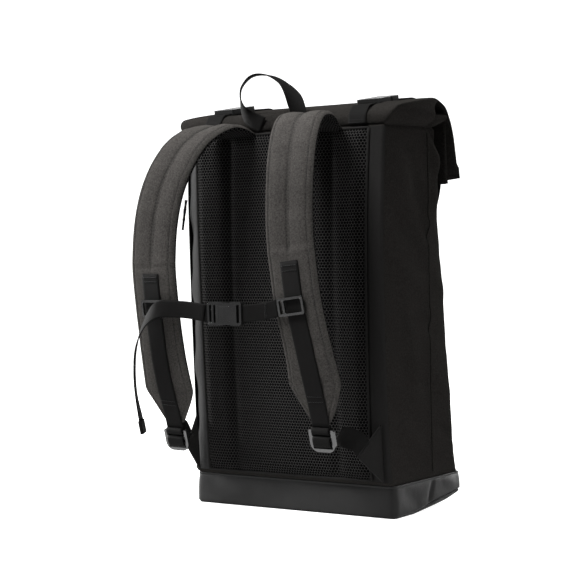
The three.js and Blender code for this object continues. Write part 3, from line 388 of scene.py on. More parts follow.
def mesh_object(name, vertices, faces, material, uvs=None, face_materials=None):
    mesh = bpy.data.meshes.new(name)
    mesh.from_pydata([tuple(v) for v in vertices], [], [tuple(int(i) for i in f) for f in faces])
    materials = material if isinstance(material, (list, tuple)) else [material]
    for item in materials:
        mesh.materials.append(item)
    if uvs is not None:
        layer = mesh.uv_layers.new(name="UVMap")
        layer.data.foreach_set("uv", np.asarray(uvs, np.float32).ravel())
    if face_materials is not None:
        mesh.polygons.foreach_set("material_index", np.asarray(face_materials, np.int32))
    mesh.polygons.foreach_set("use_smooth", np.ones(len(mesh.polygons), bool))
    mesh.update()
    obj = bpy.data.objects.new(name, mesh)
    bpy.context.scene.collection.objects.link(obj)
    return obj


def grid_faces(rows, columns, wrap):
    count = columns if wrap else columns - 1
    i, j = np.meshgrid(np.arange(rows - 1), np.arange(count), indexing="ij")
    k = (j + 1) % columns
    quads = np.stack([i * columns + j, i * columns + k, (i + 1) * columns + k, (i + 1) * columns + j], -1)
    return quads.reshape(-1, 4), i.ravel(), j.ravel()


def grid_uvs(points, wrap):
    """Distance around and along the surface, in metres, for each corner of each face"""
    rows, columns, _ = points.shape
    around = np.linalg.norm(np.diff(points, axis=1), axis=2)
    if wrap:
        closing = np.linalg.norm(points[:, 0] - points[:, -1], axis=1)[:, None]
        around = np.concatenate([around, closing], axis=1)
    u = np.concatenate([[0], np.cumsum(around.mean(axis=0))])
    along = np.linalg.norm(np.diff(points, axis=0), axis=2).mean(axis=1)
    v = np.concatenate([[0], np.cumsum(along)])
    _, i, j = grid_faces(rows, columns, wrap)
    corners = [(u[j], v[i]), (u[j + 1], v[i]), (u[j + 1], v[i + 1]), (u[j], v[i + 1])]
    return np.stack([np.stack(c, -1) for c in corners], 1).reshape(-1, 2)


def grid_object(name, points, material, wrap=False, caps=False, flip=False, face_materials=None):
    """Surface through rows of points, closed around if wrap, with flat ends if caps"""
    points = np.asarray(points, float)
    rows, columns, _ = points.shape
    faces, _, _ = grid_faces(rows, columns, wrap)
    uvs = grid_uvs(points, wrap)
    faces = [list(f) for f in faces]
    marks = list(face_materials) if face_materials is not None else [0] * len(faces)
    if caps:
        for ring in (list(range(columns))[::-1], [(rows - 1) * columns + c for c in range(columns)]):
            faces.append(ring)
            marks.append(0)
            uvs = np.concatenate([uvs, np.zeros((columns, 2))])
    obj = mesh_object(name, points.reshape(-1, 3), faces, material, uvs, marks)
    if flip or (caps and signed_volume(points) < 0):
        obj.data.flip_normals()
    return obj


def signed_volume(points):
    """Above zero if the faces of a closed grid point outwards"""
    faces, _, _ = grid_faces(points.shape[0], points.shape[1], True)
    flat = points.reshape(-1, 3) - points.reshape(-1, 3).mean(axis=0)
    a, b, c, d = (flat[faces[:, i]] for i in range(4))
    return float((np.cross(b - a, c - a) * a).sum() + (np.cross(c - a, d - a) * a).sum())


def grid_normals(points, wrap):
    if wrap:
        padded = np.concatenate([points[:, -1:], points, points[:, :1]], axis=1)
        around = padded[:, 2:] - padded[:, :-2]
    else:
        around = np.gradient(points, axis=1)
    along = np.gradient(points, axis=0)
    normal = np.cross(around, along)
    return normal / np.maximum(np.linalg.norm(normal, axis=2, keepdims=True), 1e-9)


def fold_field(points, folds):
    """Height of all folds at each point. A fold is (start, end, width, height): a ridge, or a dent if height
    is below zero, that fades at both ends"""
    total = np.zeros(points.shape[:-1])
    for start, end, width, height in folds:
        start, end = np.asarray(start), np.asarray(end)
        axis = end - start
        share = ((points - start) @ axis) / (axis @ axis)
        nearest = start + np.clip(share, 0, 1)[..., None] * axis
        distance = np.linalg.norm(points - nearest, axis=-1)
        fade = np.sin(np.pi * np.clip(share, 0.02, 0.98)) ** 0.6
        total += height * fade * np.exp(-((distance / width) ** 2))
    return total


def shown(obj, slot, *nodes):
    """The piece takes its place in the frame: it rides on the one body and replaces its solids"""
    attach(obj, "root")
    if nodes:
        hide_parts(*nodes)
    return obj


# Materials


class Nodes:
    """Small helper that adds nodes to a material and joins them"""

    def __init__(self, name):
        self.material = bpy.data.materials.new(name)
        self.material.use_nodes = True
        self.tree = self.material.node_tree
        self.shader = self.tree.nodes["Principled BSDF"]

    def add(self, kind, settings=None, **inputs):
        node = self.tree.nodes.new(kind)
        for key, value in (settings or {}).items():
            setattr(node, key, value)
        for key, value in inputs.items():
            self.put(node.inputs[key.replace("_", " ")], value)
        return node

    def put(self, socket, value):
        if isinstance(value, bpy.types.NodeSocket):
            self.tree.links.new(value, socket)
        else:
            socket.default_value = value

    def math(self, operation, *values):
        node = self.tree.nodes.new("ShaderNodeMath")
        node.operation = operation
        for index, value in enumerate(values):
            self.put(node.inputs[index], value)
        return node.outputs[0]

    def mix(self, factor, a, b):
        node = self.tree.nodes.new("ShaderNodeMix")
        node.data_type = "RGBA"
        self.put(node.inputs[0], factor)
        self.put(node.inputs[6], a)
        self.put(node.inputs[7], b)
        return node.outputs[2]

    def noise(self, vector, scale, detail=3.0, roughness=0.55):
        node = self.add("ShaderNodeTexNoise", Scale=scale, Detail=detail, Roughness=roughness)
        self.put(node.inputs["Vector"], vector)
        return node.outputs["Fac"]

    def surface(self, color, roughness, height=None, depth=0.001, strength=1.0, **more):
        self.put(self.shader.inputs["Base Color"], color)
        self.put(self.shader.inputs["Roughness"], roughness)
        for key, value in more.items():
            self.put(self.shader.inputs[key.replace("_", " ")], value)
        if height is not None:
            bump = self.add("ShaderNodeBump", Strength=strength, Distance=depth, Height=height)
            self.put(self.shader.inputs["Normal"], bump.outputs[0])
        return self.material

    def uv(self):
        node = self.add("ShaderNodeUVMap")
        split = self.add("ShaderNodeSeparateXYZ")
        self.put(split.inputs[0], node.outputs[0])
        return node.outputs[0], split.outputs[0], split.outputs[1]

    def place(self):
        return self.add("ShaderNodeTexCoord").outputs["Object"]


def grey(value, warm=0.0):
    return (value * (1 + warm), value, value * (1 - warm), 1.0)


def weave_height(nodes, u, v, pitch):
    """Plain weave: threads over and under each other"""
    scale = 2 * math.pi / pitch
    a = nodes.math("SINE", nodes.math("MULTIPLY", u, scale))
    b = nodes.math("SINE", nodes.math("MULTIPLY", v, scale))
    return nodes.math("MULTIPLY_ADD", nodes.math("MULTIPLY", a, b), 0.5, 0.5)


def canvas_material(name, shade, warm, pitch=0.0011, heather=0.5, roughness=0.82):
    nodes = Nodes(name)
    _, u, v = nodes.uv()
    place = nodes.place()
    weave = weave_height(nodes, u, v, pitch)
    fibres = nodes.noise(place, 520.0, 4.0, 0.75)
    broad = nodes.noise(place, 9.0, 3.0, 0.5)
    speckle = nodes.add("ShaderNodeMapRange", Value=fibres, From_Min=0.3, From_Max=0.7)
    mottled = nodes.math("MULTIPLY_ADD", speckle.outputs[0], 0.75, nodes.math("MULTIPLY", broad, 0.25))
    color = nodes.mix(mottled, grey(shade * (1 - heather), warm), grey(shade * (1 + heather), warm))
    height = nodes.math("MULTIPLY_ADD", fibres, 0.6, weave)
    return nodes.surface(color, roughness, height, 0.00035, 0.7, Specular_IOR_Level=0.0,
                         Sheen_Weight=0.008, Sheen_Roughness=0.5, Sheen_Tint=(0.9, 0.87, 0.84, 1.0))


def coated_material():
    nodes = Nodes("coated_fabric")
    _, u, v = nodes.uv()
    place = nodes.place()
    weave = weave_height(nodes, u, v, 0.0014)
    broad = nodes.noise(place, 22.0, 4.0, 0.55)
    scuffs = nodes.noise(place, 160.0, 5.0, 0.65)
    color = nodes.mix(broad, grey(0.008, 0.0), grey(0.012, 0.01))
    roughness = nodes.math("MULTIPLY_ADD", scuffs, 0.22, 0.4)
    height = nodes.math("MULTIPLY_ADD", weave, 0.25, nodes.math("MULTIPLY", broad, 4.0))
    return nodes.surface(color, roughness, height, 0.0004, 0.6, Specular_IOR_Level=0.055)


def mesh_material():
    """Spacer mesh: a hexagonal pattern of open holes between threads, with painted shade in the holes"""
    nodes = Nodes("spacer_mesh")
    _, u, v = nodes.uv()
    scale = 2 * math.pi / MESH_PITCH
    first = nodes.math("COSINE", nodes.math("MULTIPLY", v, scale))
    slant_u = nodes.math("MULTIPLY", u, scale * 0.866)
    slant_v = nodes.math("MULTIPLY", v, scale * 0.5)
    second = nodes.math("COSINE", nodes.math("ADD", slant_u, slant_v))
    third = nodes.math("COSINE", nodes.math("SUBTRACT", slant_u, slant_v))
    total = nodes.math("ADD", first, nodes.math("ADD", second, third))
    holes = nodes.add("ShaderNodeMapRange", Value=total, From_Min=-1.25, From_Max=0.1)
    hole = holes.outputs[0]
    fibres = nodes.noise(nodes.place(), 1200.0, 3.0, 0.7)
    thread = nodes.mix(fibres, grey(0.013, 0.02), grey(0.030, 0.02))
    # The holes are painted near black: painted shade down inside the open holes.
    color = nodes.mix(hole, thread, grey(0.0002))
    height = nodes.math("SUBTRACT", 1.0, hole)
    return nodes.surface(color, 0.75, height, 0.0014, 1.0, Specular_IOR_Level=0.0)


MESH_PITCH = 0.0034
STAGE_GLOW = 0.9


def webbing_material(name="webbing", shade=0.0044):
    """Woven webbing: ribs along the band with slanted picks between them"""
    nodes = Nodes(name)
    _, u, v = nodes.uv()
    ribs = nodes.math("SINE", nodes.math("MULTIPLY", u, 2 * math.pi / 0.0012))
    bent = nodes.math("MULTIPLY_ADD", ribs, 0.0003, v)
    picks = nodes.math("SINE", nodes.math("MULTIPLY", bent, 2 * math.pi / 0.0011))
    fibres = nodes.noise(nodes.place(), 1500.0, 3.0, 0.7)
    height = nodes.math("MULTIPLY_ADD", picks, 0.35, ribs)
    color = nodes.mix(fibres, grey(shade * 0.65, 0.02), grey(shade * 1.4, 0.02))
    return nodes.surface(color, 0.62, height, 0.00018, 0.4, Specular_IOR_Level=0.01)


def plastic_material():
    nodes = Nodes("moulded_plastic")
    place = nodes.place()
    grain = nodes.noise(place, 700.0, 2.0, 0.6)
    broad = nodes.noise(place, 60.0, 2.0, 0.5)
    roughness = nodes.math("MULTIPLY_ADD", broad, 0.12, 0.16)
    return nodes.surface(grey(0.004), roughness, grain, 0.00006, 0.25, Specular_IOR_Level=0.65)


def thread_material():
    nodes = Nodes("thread")
    twist = nodes.noise(nodes.place(), 2500.0, 2.0, 0.6)
    color = nodes.mix(twist, grey(0.002), grey(0.006))
    return nodes.surface(color, 0.6, twist, 0.0001, 0.4, Specular_IOR_Level=0.1)


def floor_material():
    nodes = Nodes("floor")
    soft = nodes.noise(nodes.place(), 1.5, 2.0, 0.5)
    color = nodes.mix(soft, grey(0.36), grey(0.38))
    return nodes.surface(color, 0.9, Emission_Color=(1.0, 1.0, 1.0, 1.0), Emission_Strength=STAGE_GLOW)


# Body shell


def corner(x, y, radius, sign):
    return [(x - radius, y), (x - 0.3 * radius, y - sign * 0.3 * radius), (x, y - sign * radius)]


def mirrored(right, middle=()):
    return [*right, *middle, *[(-x, y) for x, y in reversed(right)]]


def base_outline(front_share=BASE_FRONT_SHARE):
    front_half = HALF_WIDTH * front_share
    fold = -HALF_DEPTH + DEPTH * FOLD_BACK_SHARE
    right = [
        *corner(HALF_WIDTH, -HALF_DEPTH, BASE_CORNER, -1),
        (HALF_WIDTH, (fold - HALF_DEPTH) / 2),
        (HALF_WIDTH, fold),
        (HALF_WIDTH, fold + FOLD_WIDTH),
        ((HALF_WIDTH + front_half) / 2, (fold + HALF_DEPTH) / 2),
        *corner(front_half, HALF_DEPTH, BASE_CORNER, 1)[::-1],
    ]
    return right


def body_values(z):
    heights = [row[0] * SEAM_HEIGHT for row in BODY_ROWS]
    place = float(np.interp(z, heights, np.arange(len(heights))))
    return dict(zip(BODY_COLUMNS, blend_rows(BODY_ROWS, place)))


def back_face(z):
    return -HALF_DEPTH - BACK_BULGE * body_values(z)["back"]


def front_face(z, x):
    row = body_values(z)
    flat_half = HALF_WIDTH * row["corner"] - CORNER_RADIUS
    return HALF_DEPTH * row["front"] + FRONT_BOW * row["bow"] * max(0.0, 1 - abs(x) / flat_half)


def body_right(row):
    back = -HALF_DEPTH - BACK_BULGE * row["back"]
    side = HALF_WIDTH * row["side"]
    fold = -HALF_DEPTH + DEPTH * FOLD_BACK_SHARE
    ridge = side + SIDE_BULGE * row["ridge"]
    front_half = HALF_WIDTH * row["corner"]
    front = HALF_DEPTH * row["front"]
    valley = ridge - FOLD_DEPTH * row["valley"]
    fold_end = min(fold + CREASE_WIDTH, front - 3 * CORNER_RADIUS)
    return [
        *corner(side, back, BACK_CORNER, -1),
        (side + SIDE_BULGE * row["ridge"] * 0.7, (back + fold) / 2),
        (ridge, fold),
        (valley, fold_end),
        ((valley + front_half) / 2 + PUFF * row["puff"], (fold_end + front) / 2),
        *corner(front_half, front, CORNER_RADIUS, 1)[::-1],
    ]


def roll_lines():
    lines = []
    for values in ROLL_ROWS:
        row = dict(zip(ROLL_COLUMNS, values))
        depth = FLAP_STANDOFF if row["drop"] > 0 else HALF_DEPTH
        outer = np.array([row["outer"] * depth, SEAM_HEIGHT + row["rise"] * ROLL_RISE - row["drop"] * FLAP_DROP])
        inner = np.array([
            row["inner"] * HALF_DEPTH,
            SEAM_HEIGHT + row["inner_rise"] * ROLL_RISE - row["inner_drop"] * FLAP_DROP,
        ])
        lines.append((outer, inner, row["half"] * HALF_WIDTH))
    return lines


def roll_outline(outer, inner, half, fold):
    length = float(np.linalg.norm(inner - outer))
    radius = min(ROLL_CORNER, 0.09 * length)
    right = [
        *corner(half, 0.0, radius, -1),
        *[(half - depth, share * length) for share, depth in zip(*fold)],
        *corner(half - FLAP_TUCK, length, radius, 1)[::-1],
    ]
    return mirrored(right, [(0.0, length)])


def shell_rings():
    """Outlines of the whole canvas shell from inside the base to the mouth of the flap, as 3-D points"""
    rings = []
    tucked = inset(mirrored(base_outline(), [(0.0, HALF_DEPTH)]), BASE_WALL + GAP)
    for z in (BASE_HEIGHT - BASE_LAP, BASE_HEIGHT + 0.0005):
        rings.append([(x, y, z) for x, y in tucked])
    for values in BODY_ROWS:
        row = dict(zip(BODY_COLUMNS, values))
        z = max(row["height"] * SEAM_HEIGHT, BASE_HEIGHT + CANVAS_SPREAD)
        outline = mirrored(body_right(row), [(0.0, HALF_DEPTH * row["front"] + FRONT_BOW * row["bow"])])
        rings.append([(x, y, z) for x, y in outline])
    for (outer, inner, half), fold in zip(roll_lines(), ROLL_FOLDS):
        along = unit(inner - outer)
        outline = roll_outline(outer, inner, half, fold)
        rings.append([(x, outer[0] + along[0] * y, outer[1] + along[1] * y) for x, y in outline])
    rings = np.array(rings)
    seam = 1 + len(BODY_ROWS)
    below = rings[seam] + (rings[seam - 1] - rings[seam]) * 0.06
    above = rings[seam] + (rings[seam + 1] - rings[seam]) * 0.16
    groove = rings[seam].copy()
    groove[:, :2] = inset(groove[:, :2], SEAM_GROOVE)
    return np.concatenate([rings[:seam], [below, groove, above], rings[seam + 1:]])


# Soft folds of the shell: start, end, width and height in metres.
SHELL_FOLDS = (
    # right side, behind the ridge
    ((0.150, 0.010, 0.050), (0.152, 0.010, 0.452), 0.0022, 0.0016),
    ((0.150, 0.020, 0.060), (0.150, 0.018, 0.400), 0.0045, -0.0028),
    ((0.148, -0.075, 0.440), (0.150, -0.020, 0.380), 0.020, 0.0030),
    ((0.148, -0.030, 0.430), (0.150, 0.005, 0.340), 0.012, -0.0034),
    ((0.148, -0.072, 0.360), (0.152, 0.000, 0.300), 0.015, -0.0026),
    ((0.149, -0.060, 0.300), (0.152, 0.004, 0.262), 0.010, 0.0020),
    ((0.150, -0.040, 0.270), (0.152, -0.015, 0.120), 0.014, 0.0020),
    ((0.148, -0.070, 0.180), (0.152, 0.008, 0.150), 0.014, -0.0022),
    ((0.150, -0.060, 0.110), (0.152, 0.005, 0.066), 0.012, 0.0018),
    # notches on the ridge
    ((0.151, 0.002, 0.338), (0.150, 0.026, 0.314), 0.0050, -0.0036),
    ((0.151, 0.004, 0.352), (0.150, 0.024, 0.334), 0.0050, 0.0024),
    ((0.151, 0.003, 0.226), (0.150, 0.030, 0.198), 0.0055, -0.0034),
    ((0.151, 0.006, 0.242), (0.150, 0.026, 0.220), 0.0055, 0.0022),
    # right side, ahead of the ridge
    ((0.148, 0.024, 0.395), (0.143, 0.052, 0.350), 0.010, 0.0026),
    ((0.148, 0.026, 0.330), (0.142, 0.064, 0.300), 0.008, -0.0026),
    ((0.147, 0.030, 0.285), (0.142, 0.070, 0.255), 0.010, 0.0026),
    ((0.147, 0.026, 0.215), (0.144, 0.072, 0.190), 0.008, -0.0026),
    ((0.147, 0.030, 0.160), (0.145, 0.075, 0.130), 0.010, 0.0024),
    ((0.147, 0.028, 0.100), (0.146, 0.076, 0.076), 0.008, -0.0020),
    ((0.150, 0.012, 0.470), (0.152, 0.040, 0.425), 0.006, -0.0040),
    ((0.150, 0.020, 0.450), (0.151, 0.032, 0.405), 0.007, 0.0040),
    # top
    ((0.150, -0.060, 0.478), (0.156, 0.010, 0.474), 0.008, 0.0016),
    ((0.140, -0.020, 0.494), (0.155, 0.010, 0.482), 0.008, -0.0020),
    ((0.100, -0.070, 0.484), (0.150, -0.030, 0.493), 0.010, 0.0020),
    ((0.060, -0.078, 0.476), (0.140, -0.070, 0.482), 0.006, -0.0018),
    ((-0.120, -0.060, 0.487), (-0.020, -0.030, 0.492), 0.010, -0.0022),
    ((-0.060, -0.078, 0.472), (0.010, -0.060, 0.486), 0.008, 0.0018),
    ((0.020, -0.050, 0.488), (0.090, -0.020, 0.492), 0.010, 0.0020),
    ((-0.160, -0.070, 0.482), (-0.130, -0.030, 0.490), 0.008, -0.0026),
    ((-0.150, -0.078, 0.470), (-0.100, -0.070, 0.482), 0.006, 0.0020),
    # left side
    ((-0.150, 0.010, 0.050), (-0.152, 0.010, 0.452), 0.0022, 0.0016),
    ((-0.150, 0.020, 0.060), (-0.150, 0.018, 0.400), 0.0045, -0.0028),
    ((-0.148, -0.060, 0.420), (-0.150, 0.010, 0.360), 0.016, -0.0026),
    ((-0.148, -0.070, 0.200), (-0.152, 0.005, 0.150), 0.016, -0.0022),
    ((-0.148, 0.026, 0.330), (-0.142, 0.064, 0.300), 0.009, -0.0026),
    ((-0.147, 0.030, 0.180), (-0.144, 0.072, 0.150), 0.009, 0.0024),
    # front
    ((-0.100, 0.078, 0.330), (0.060, 0.076, 0.280), 0.020, 0.0024),
    ((0.110, 0.080, 0.200), (-0.020, 0.082, 0.150), 0.022, -0.0024),
    ((-0.120, 0.082, 0.100), (0.020, 0.082, 0.070), 0.018, 0.0020),
    ((-0.060, 0.080, 0.455), (-0.010, 0.081, 0.405), 0.014, -0.0018),
    ((0.120, 0.080, 0.450), (0.040, 0.081, 0.410), 0.014, 0.0018),
)
# The left back corner is rounder than the right one: width and depth of what it loses.
LEFT_ROUND = (0.024, 0.012)


def left_round(x, z):
    """How far the back gives way at the left corner"""
    wave = 1 + 0.22 * np.sin(z * 62) + 0.12 * np.sin(z * 131 + 1)
    share = soft_step(-x, HALF_WIDTH - LEFT_ROUND[0], HALF_WIDTH + 0.004)
    return LEFT_ROUND[1] * share * wave * soft_step(z, 0.040, 0.075) * (1 - soft_step(z, 0.440, 0.470))


# Samples on each stretch of the shell's right half: corner, side up to the fold, fold, side, corner
SHELL_SAMPLES = (3, 3, 18, 21, 8, 15, 10, 3, 3)
FRONT_SAMPLES = 28
BACK_SAMPLES = 56


def make_shell(material):
    """Canvas from inside the base to the mouth of the flap, with its inner side from every fifth row"""
    rings = shell_rings()
    counts = [*SHELL_SAMPLES, FRONT_SAMPLES, FRONT_SAMPLES, *SHELL_SAMPLES[::-1], BACK_SAMPLES]
    around = np.array([densify(ring, counts, closed=True) for ring in rings])
    lengths = np.linalg.norm(np.diff(rings, axis=0), axis=2).mean(axis=1)
    steps = np.maximum(3, np.round(lengths / 0.0028).astype(int))
    points = densify(around, steps)
    points = blur(points, 1.3, 1, wrap=True)
    points = blur(points, 1.2, 0)
    normals = grid_normals(points, True)
    points = points + normals * fold_field(points, SHELL_FOLDS)[..., None]
    at_back = 1 - soft_step(points[..., 1], -HALF_DEPTH, -HALF_DEPTH + 0.03)
    points[..., 1] += left_round(points[..., 0], points[..., 2]) * at_back
    inner = points - grid_normals(points, True) * CANVAS_WALL * 0.8
    whole = np.concatenate([points, inner[::-5], points[:1]])
    shell = grid_object("canvas_shell", whole, material, wrap=True)
    ridge = sum(SHELL_SAMPLES[:4])
    for side, column in (("right", ridge), ("left", sum(counts[:-1]) - ridge)):
        heights = points[:, column, 2]
        low, high = np.argmax(heights > RIDGE_BOTTOM), np.argmax(heights > SEAM_HEIGHT - 0.004)
        route = points[low:high:2, column] + normals[low:high:2, column] * 0.0004
        shown(tube(f"side_ridge_{side}", route, RIDGE_RADIUS, material), "canvas")
    return shown(shell, "canvas", "sack", "roll_top")


# Coated base


# Lower edge of the base's wall, and the bottom below it, from back to front: y, edge and bottom.
BASE_CURL = (
    (-0.077, 0.0020, 0.0),
    (-0.040, 0.0030, 0.0),
    (-0.020, 0.0045, 0.0008),
    (-0.001, 0.0090, 0.0030),
    (0.023, 0.0120, 0.0055),
    (0.046, 0.0145, 0.0080),
    (0.063, 0.0170, 0.0115),
    (0.077, 0.0180, 0.0145),
)


def base_curl(y, column):
    return float(np.interp(y, [row[0] for row in BASE_CURL], [row[column] for row in BASE_CURL]))


# Sections of the base from its bottom to the hem and down inside: how far each is narrowed, and its height
# as a share of the underside strip (below 1) or of the wall (above 1).
BASE_PROFILE = (
    (0.068, 0.0), (0.045, 0.0), (0.025, 0.0), (0.008, 0.0), (0.0045, 0.0), (0.0026, 0.10), (0.0016, 0.30),
    (0.0014, 0.50), (0.0016, 0.70), (0.0022, 0.88), (0.0012, 1.0), (0.0002, 1.02), (0.0, 1.05), (0.0, 1.12),
    (0.0, 1.20), (0.0001, 1.30), (0.0002, 1.42), (0.0004, 1.54), (0.0006, 1.66), (0.0009, 1.76), (0.0012, 1.84),
    (0.0016, 1.90), (0.0019, 1.925), (0.0014, 1.94), (0.0012, 1.96), (0.0014, 1.985), (0.0020, 2.0),
    (0.0026, 1.99), (0.0028, 1.9), (0.0028, 1.7),
)
WALL_START = 10


BASE_FOLDS = (
    ((-0.120, -0.078, 0.030), (-0.060, -0.078, 0.012), 0.010, 0.0010),
    ((-0.030, -0.078, 0.034), (0.040, -0.078, 0.014), 0.012, -0.0010),
    ((0.060, -0.078, 0.030), (0.120, -0.078, 0.018), 0.010, 0.0010),
    ((0.150, -0.060, 0.030), (0.150, -0.020, 0.012), 0.010, -0.0012),
    ((0.150, 0.012, 0.039), (0.150, -0.004, 0.008), 0.0035, -0.0022),
    ((0.150, 0.030, 0.034), (0.149, 0.066, 0.026), 0.008, 0.0014),
    ((0.120, 0.078, 0.030), (0.020, 0.078, 0.020), 0.012, 0.0010),
    ((-0.020, 0.078, 0.034), (-0.110, 0.078, 0.024), 0.012, -0.0010),
)


def make_base(material):
    outline = base_outline()
    whole = mirrored(outline)
    counts = [max(3, round(np.hypot(b[0] - a[0], b[1] - a[1]) / 0.003)) for a, b in zip(whole, whole[1:] + whole[:1])]

    def ring(index, narrow, height):
        points = []
        tuck = 0.003 * (1 - abs(index - WALL_START) / 2) if abs(index - WALL_START) < 2 else 0.0
        for (x, y), (wide_x, wide_y) in zip(inset(whole, narrow + tuck), inset(whole, narrow)):
            deep = float(soft_step(y, -0.03, 0.01))
            x, y = wide_x + (x - wide_x) * deep, wide_y + (y - wide_y) * deep
            edge, low = base_curl(y, 1), base_curl(y, 2)
            z = low + (edge - low) * height if height <= 1 else edge + (BASE_HEIGHT - edge) * (height - 1)
            points.append((x, y, z))
        return densify(points, counts, closed=True)

    rows = [ring(index, *values) for index, values in enumerate(BASE_PROFILE)]
    points = blur(np.array(rows), 0.9, 1, wrap=True)
    normals = grid_normals(points, True)
    heights = fold_field(points, BASE_FOLDS)
    heights[:WALL_START + 1] = 0
    heights[-9:] = 0
    points = points + normals * heights[..., None]
    base = grid_object("coated_base", points, material, wrap=True, caps=True)
    return shown(base, "coated", "base")


# Back panel


def pad_half(z):
    share = np.clip((z - PAD_BOTTOM) / (PAD_TOP - PAD_BOTTOM), 0, 1)
    return HALF_WIDTH * (PAD_LOW_SHARE + (PAD_HIGH_SHARE - PAD_LOW_SHARE) * share**2)


def pad_depth(x, half):
    """Depth of the mesh panel over the canvas at a distance from its middle"""
    edge = soft_step(half - abs(x), -0.001, 0.012)
    channel = np.exp(-(((abs(x) - CHANNEL_OFFSET) / (CHANNEL_WIDTH * 0.36)) ** 2))
    lobe = 0.0008 * np.cos(np.pi * x / CHANNEL_OFFSET)
    return 0.002 + (PAD_THICKNESS - 0.003 + lobe) * edge - CHANNEL_DEPTH * channel * edge


def make_back_pad(material, hem):
    rows = []
    for z in np.linspace(PAD_BOTTOM, PAD_TOP, 110):
        half = float(pad_half(z))
        ends = soft_step(z - PAD_BOTTOM, -0.002, 0.012) * soft_step(PAD_TOP - z, -0.002, 0.012)
        back = back_face(z) - GAP
        row = [(-half, back, z)]
        for share in np.linspace(-1, 1, 150):
            x = share * half
            row.append((x, back - 0.0015 - (pad_depth(x, half) - 0.0015) * ends, z))
        row.append((half, back, z))
        rows.append(row)
    pad = grid_object("mesh_panel", rows, material)
    shown(pad, "mesh", "back_pad")
    bars = []
    for side in (-1, 1):
        route = []
        for z in np.linspace(PAD_BOTTOM + 0.001, PAD_TOP - 0.001, 60):
            route.append((side * (pad_half(z) + 0.0005), back_face(z) - 0.0022, z))
        bars.append(tube(f"pad_binding_{'left' if side < 0 else 'right'}", route, 0.0016, hem))
    for z in (PAD_BOTTOM + 0.001, PAD_TOP - 0.001):
        half = float(pad_half(z))
        route = [(x, back_face(z) - 0.0022, z) for x in np.linspace(-half, half, 40)]
        bars.append(tube("pad_binding_low" if z < 0.1 else "pad_binding_high", route, 0.0016, hem))
    for bar in bars:
        shown(bar, "canvas")


def tube(name, route, radius, material, sides=8):
    frames = frames_along(route, [(0.3, 0.9, 0.31)] * len(route))
    rings = []
    for frame in frames:
        ring = [in_frame(frame, radius * math.cos(a), radius * math.sin(a))
                for a in np.linspace(0, 2 * math.pi, sides, endpoint=False)]
        rings.append(ring)
    return grid_object(name, rings, material, wrap=True, caps=True)


def make_edge_strip(name, material):
    """Smooth strip from the mesh to the corner, with its outer edge turned round it"""
    side = SIDES[name]
    rows = []
    for z in np.linspace(PAD_BOTTOM, PAD_TOP, 110):
        inner = pad_half(z) + 0.0015
        outer = HALF_WIDTH * body_values(z)["side"] + 0.0006
        back = back_face(z) - GAP
        row = []
        for share in np.linspace(0, 1, 22):
            x = inner + (outer - inner) * share
            turn = max(0.0, 1 - (outer - x) / STRIP_TURN)
            lift = STRIP_THICKNESS * (1 - (1 - share) ** 12)
            give = float(left_round(side * x, z)) + STRIP_TURN * (1 - math.sqrt(max(0.0, 1 - turn**2)))
            row.append((side * x, back - lift + give, z))
        rows.append(row)
    strip = grid_object(f"edge_strip_cloth_{name}", rows, material, flip=side < 0)
    return shown(strip, "canvas", f"edge_strip_{name}")


# Straps


def strap_frames(name, steps=STRAP_STEPS):
    side = SIDES[name]
    rows = STRAP_ROWS[name]
    points = [[side * r[2] * HALF_WIDTH, -HALF_DEPTH - r[1] * STRAP_REACH, r[0] * SEAM_HEIGHT] for r in rows]
    root_half = 0.5 * STRAP_THICKNESS * rows[0][4]
    points[0][1] = back_face(points[0][2] - root_half) - GAP
    count = (len(rows) - 1) * steps
    route = curve_through(points, count)
    frames = frames_along(route, [(1, 0, 0)] * len(route), first=(0, -1, 0))
    stations = []
    for index, frame in enumerate(frames):
        row = dict(zip(STRAP_COLUMNS, blend_rows(rows, index / steps)))
        stations.append((frame, row["width"] * STRAP_WIDTH, row["thick"] * STRAP_THICKNESS,
                         row["groove"] * STRAP_GROOVE))
    return stations


def strap_ring(width, thick, groove):
    right = [(u * width, v * thick) for u, v in STRAP_SECTION]
    left = [(-x, y) for x, y in reversed(right)]
    middle = [(-0.06 * width, 0.5 * thick - 0.3 * groove), (0, 0.5 * thick - groove),
              (0.06 * width, 0.5 * thick - 0.3 * groove)]
    return [*right, *left, *middle]


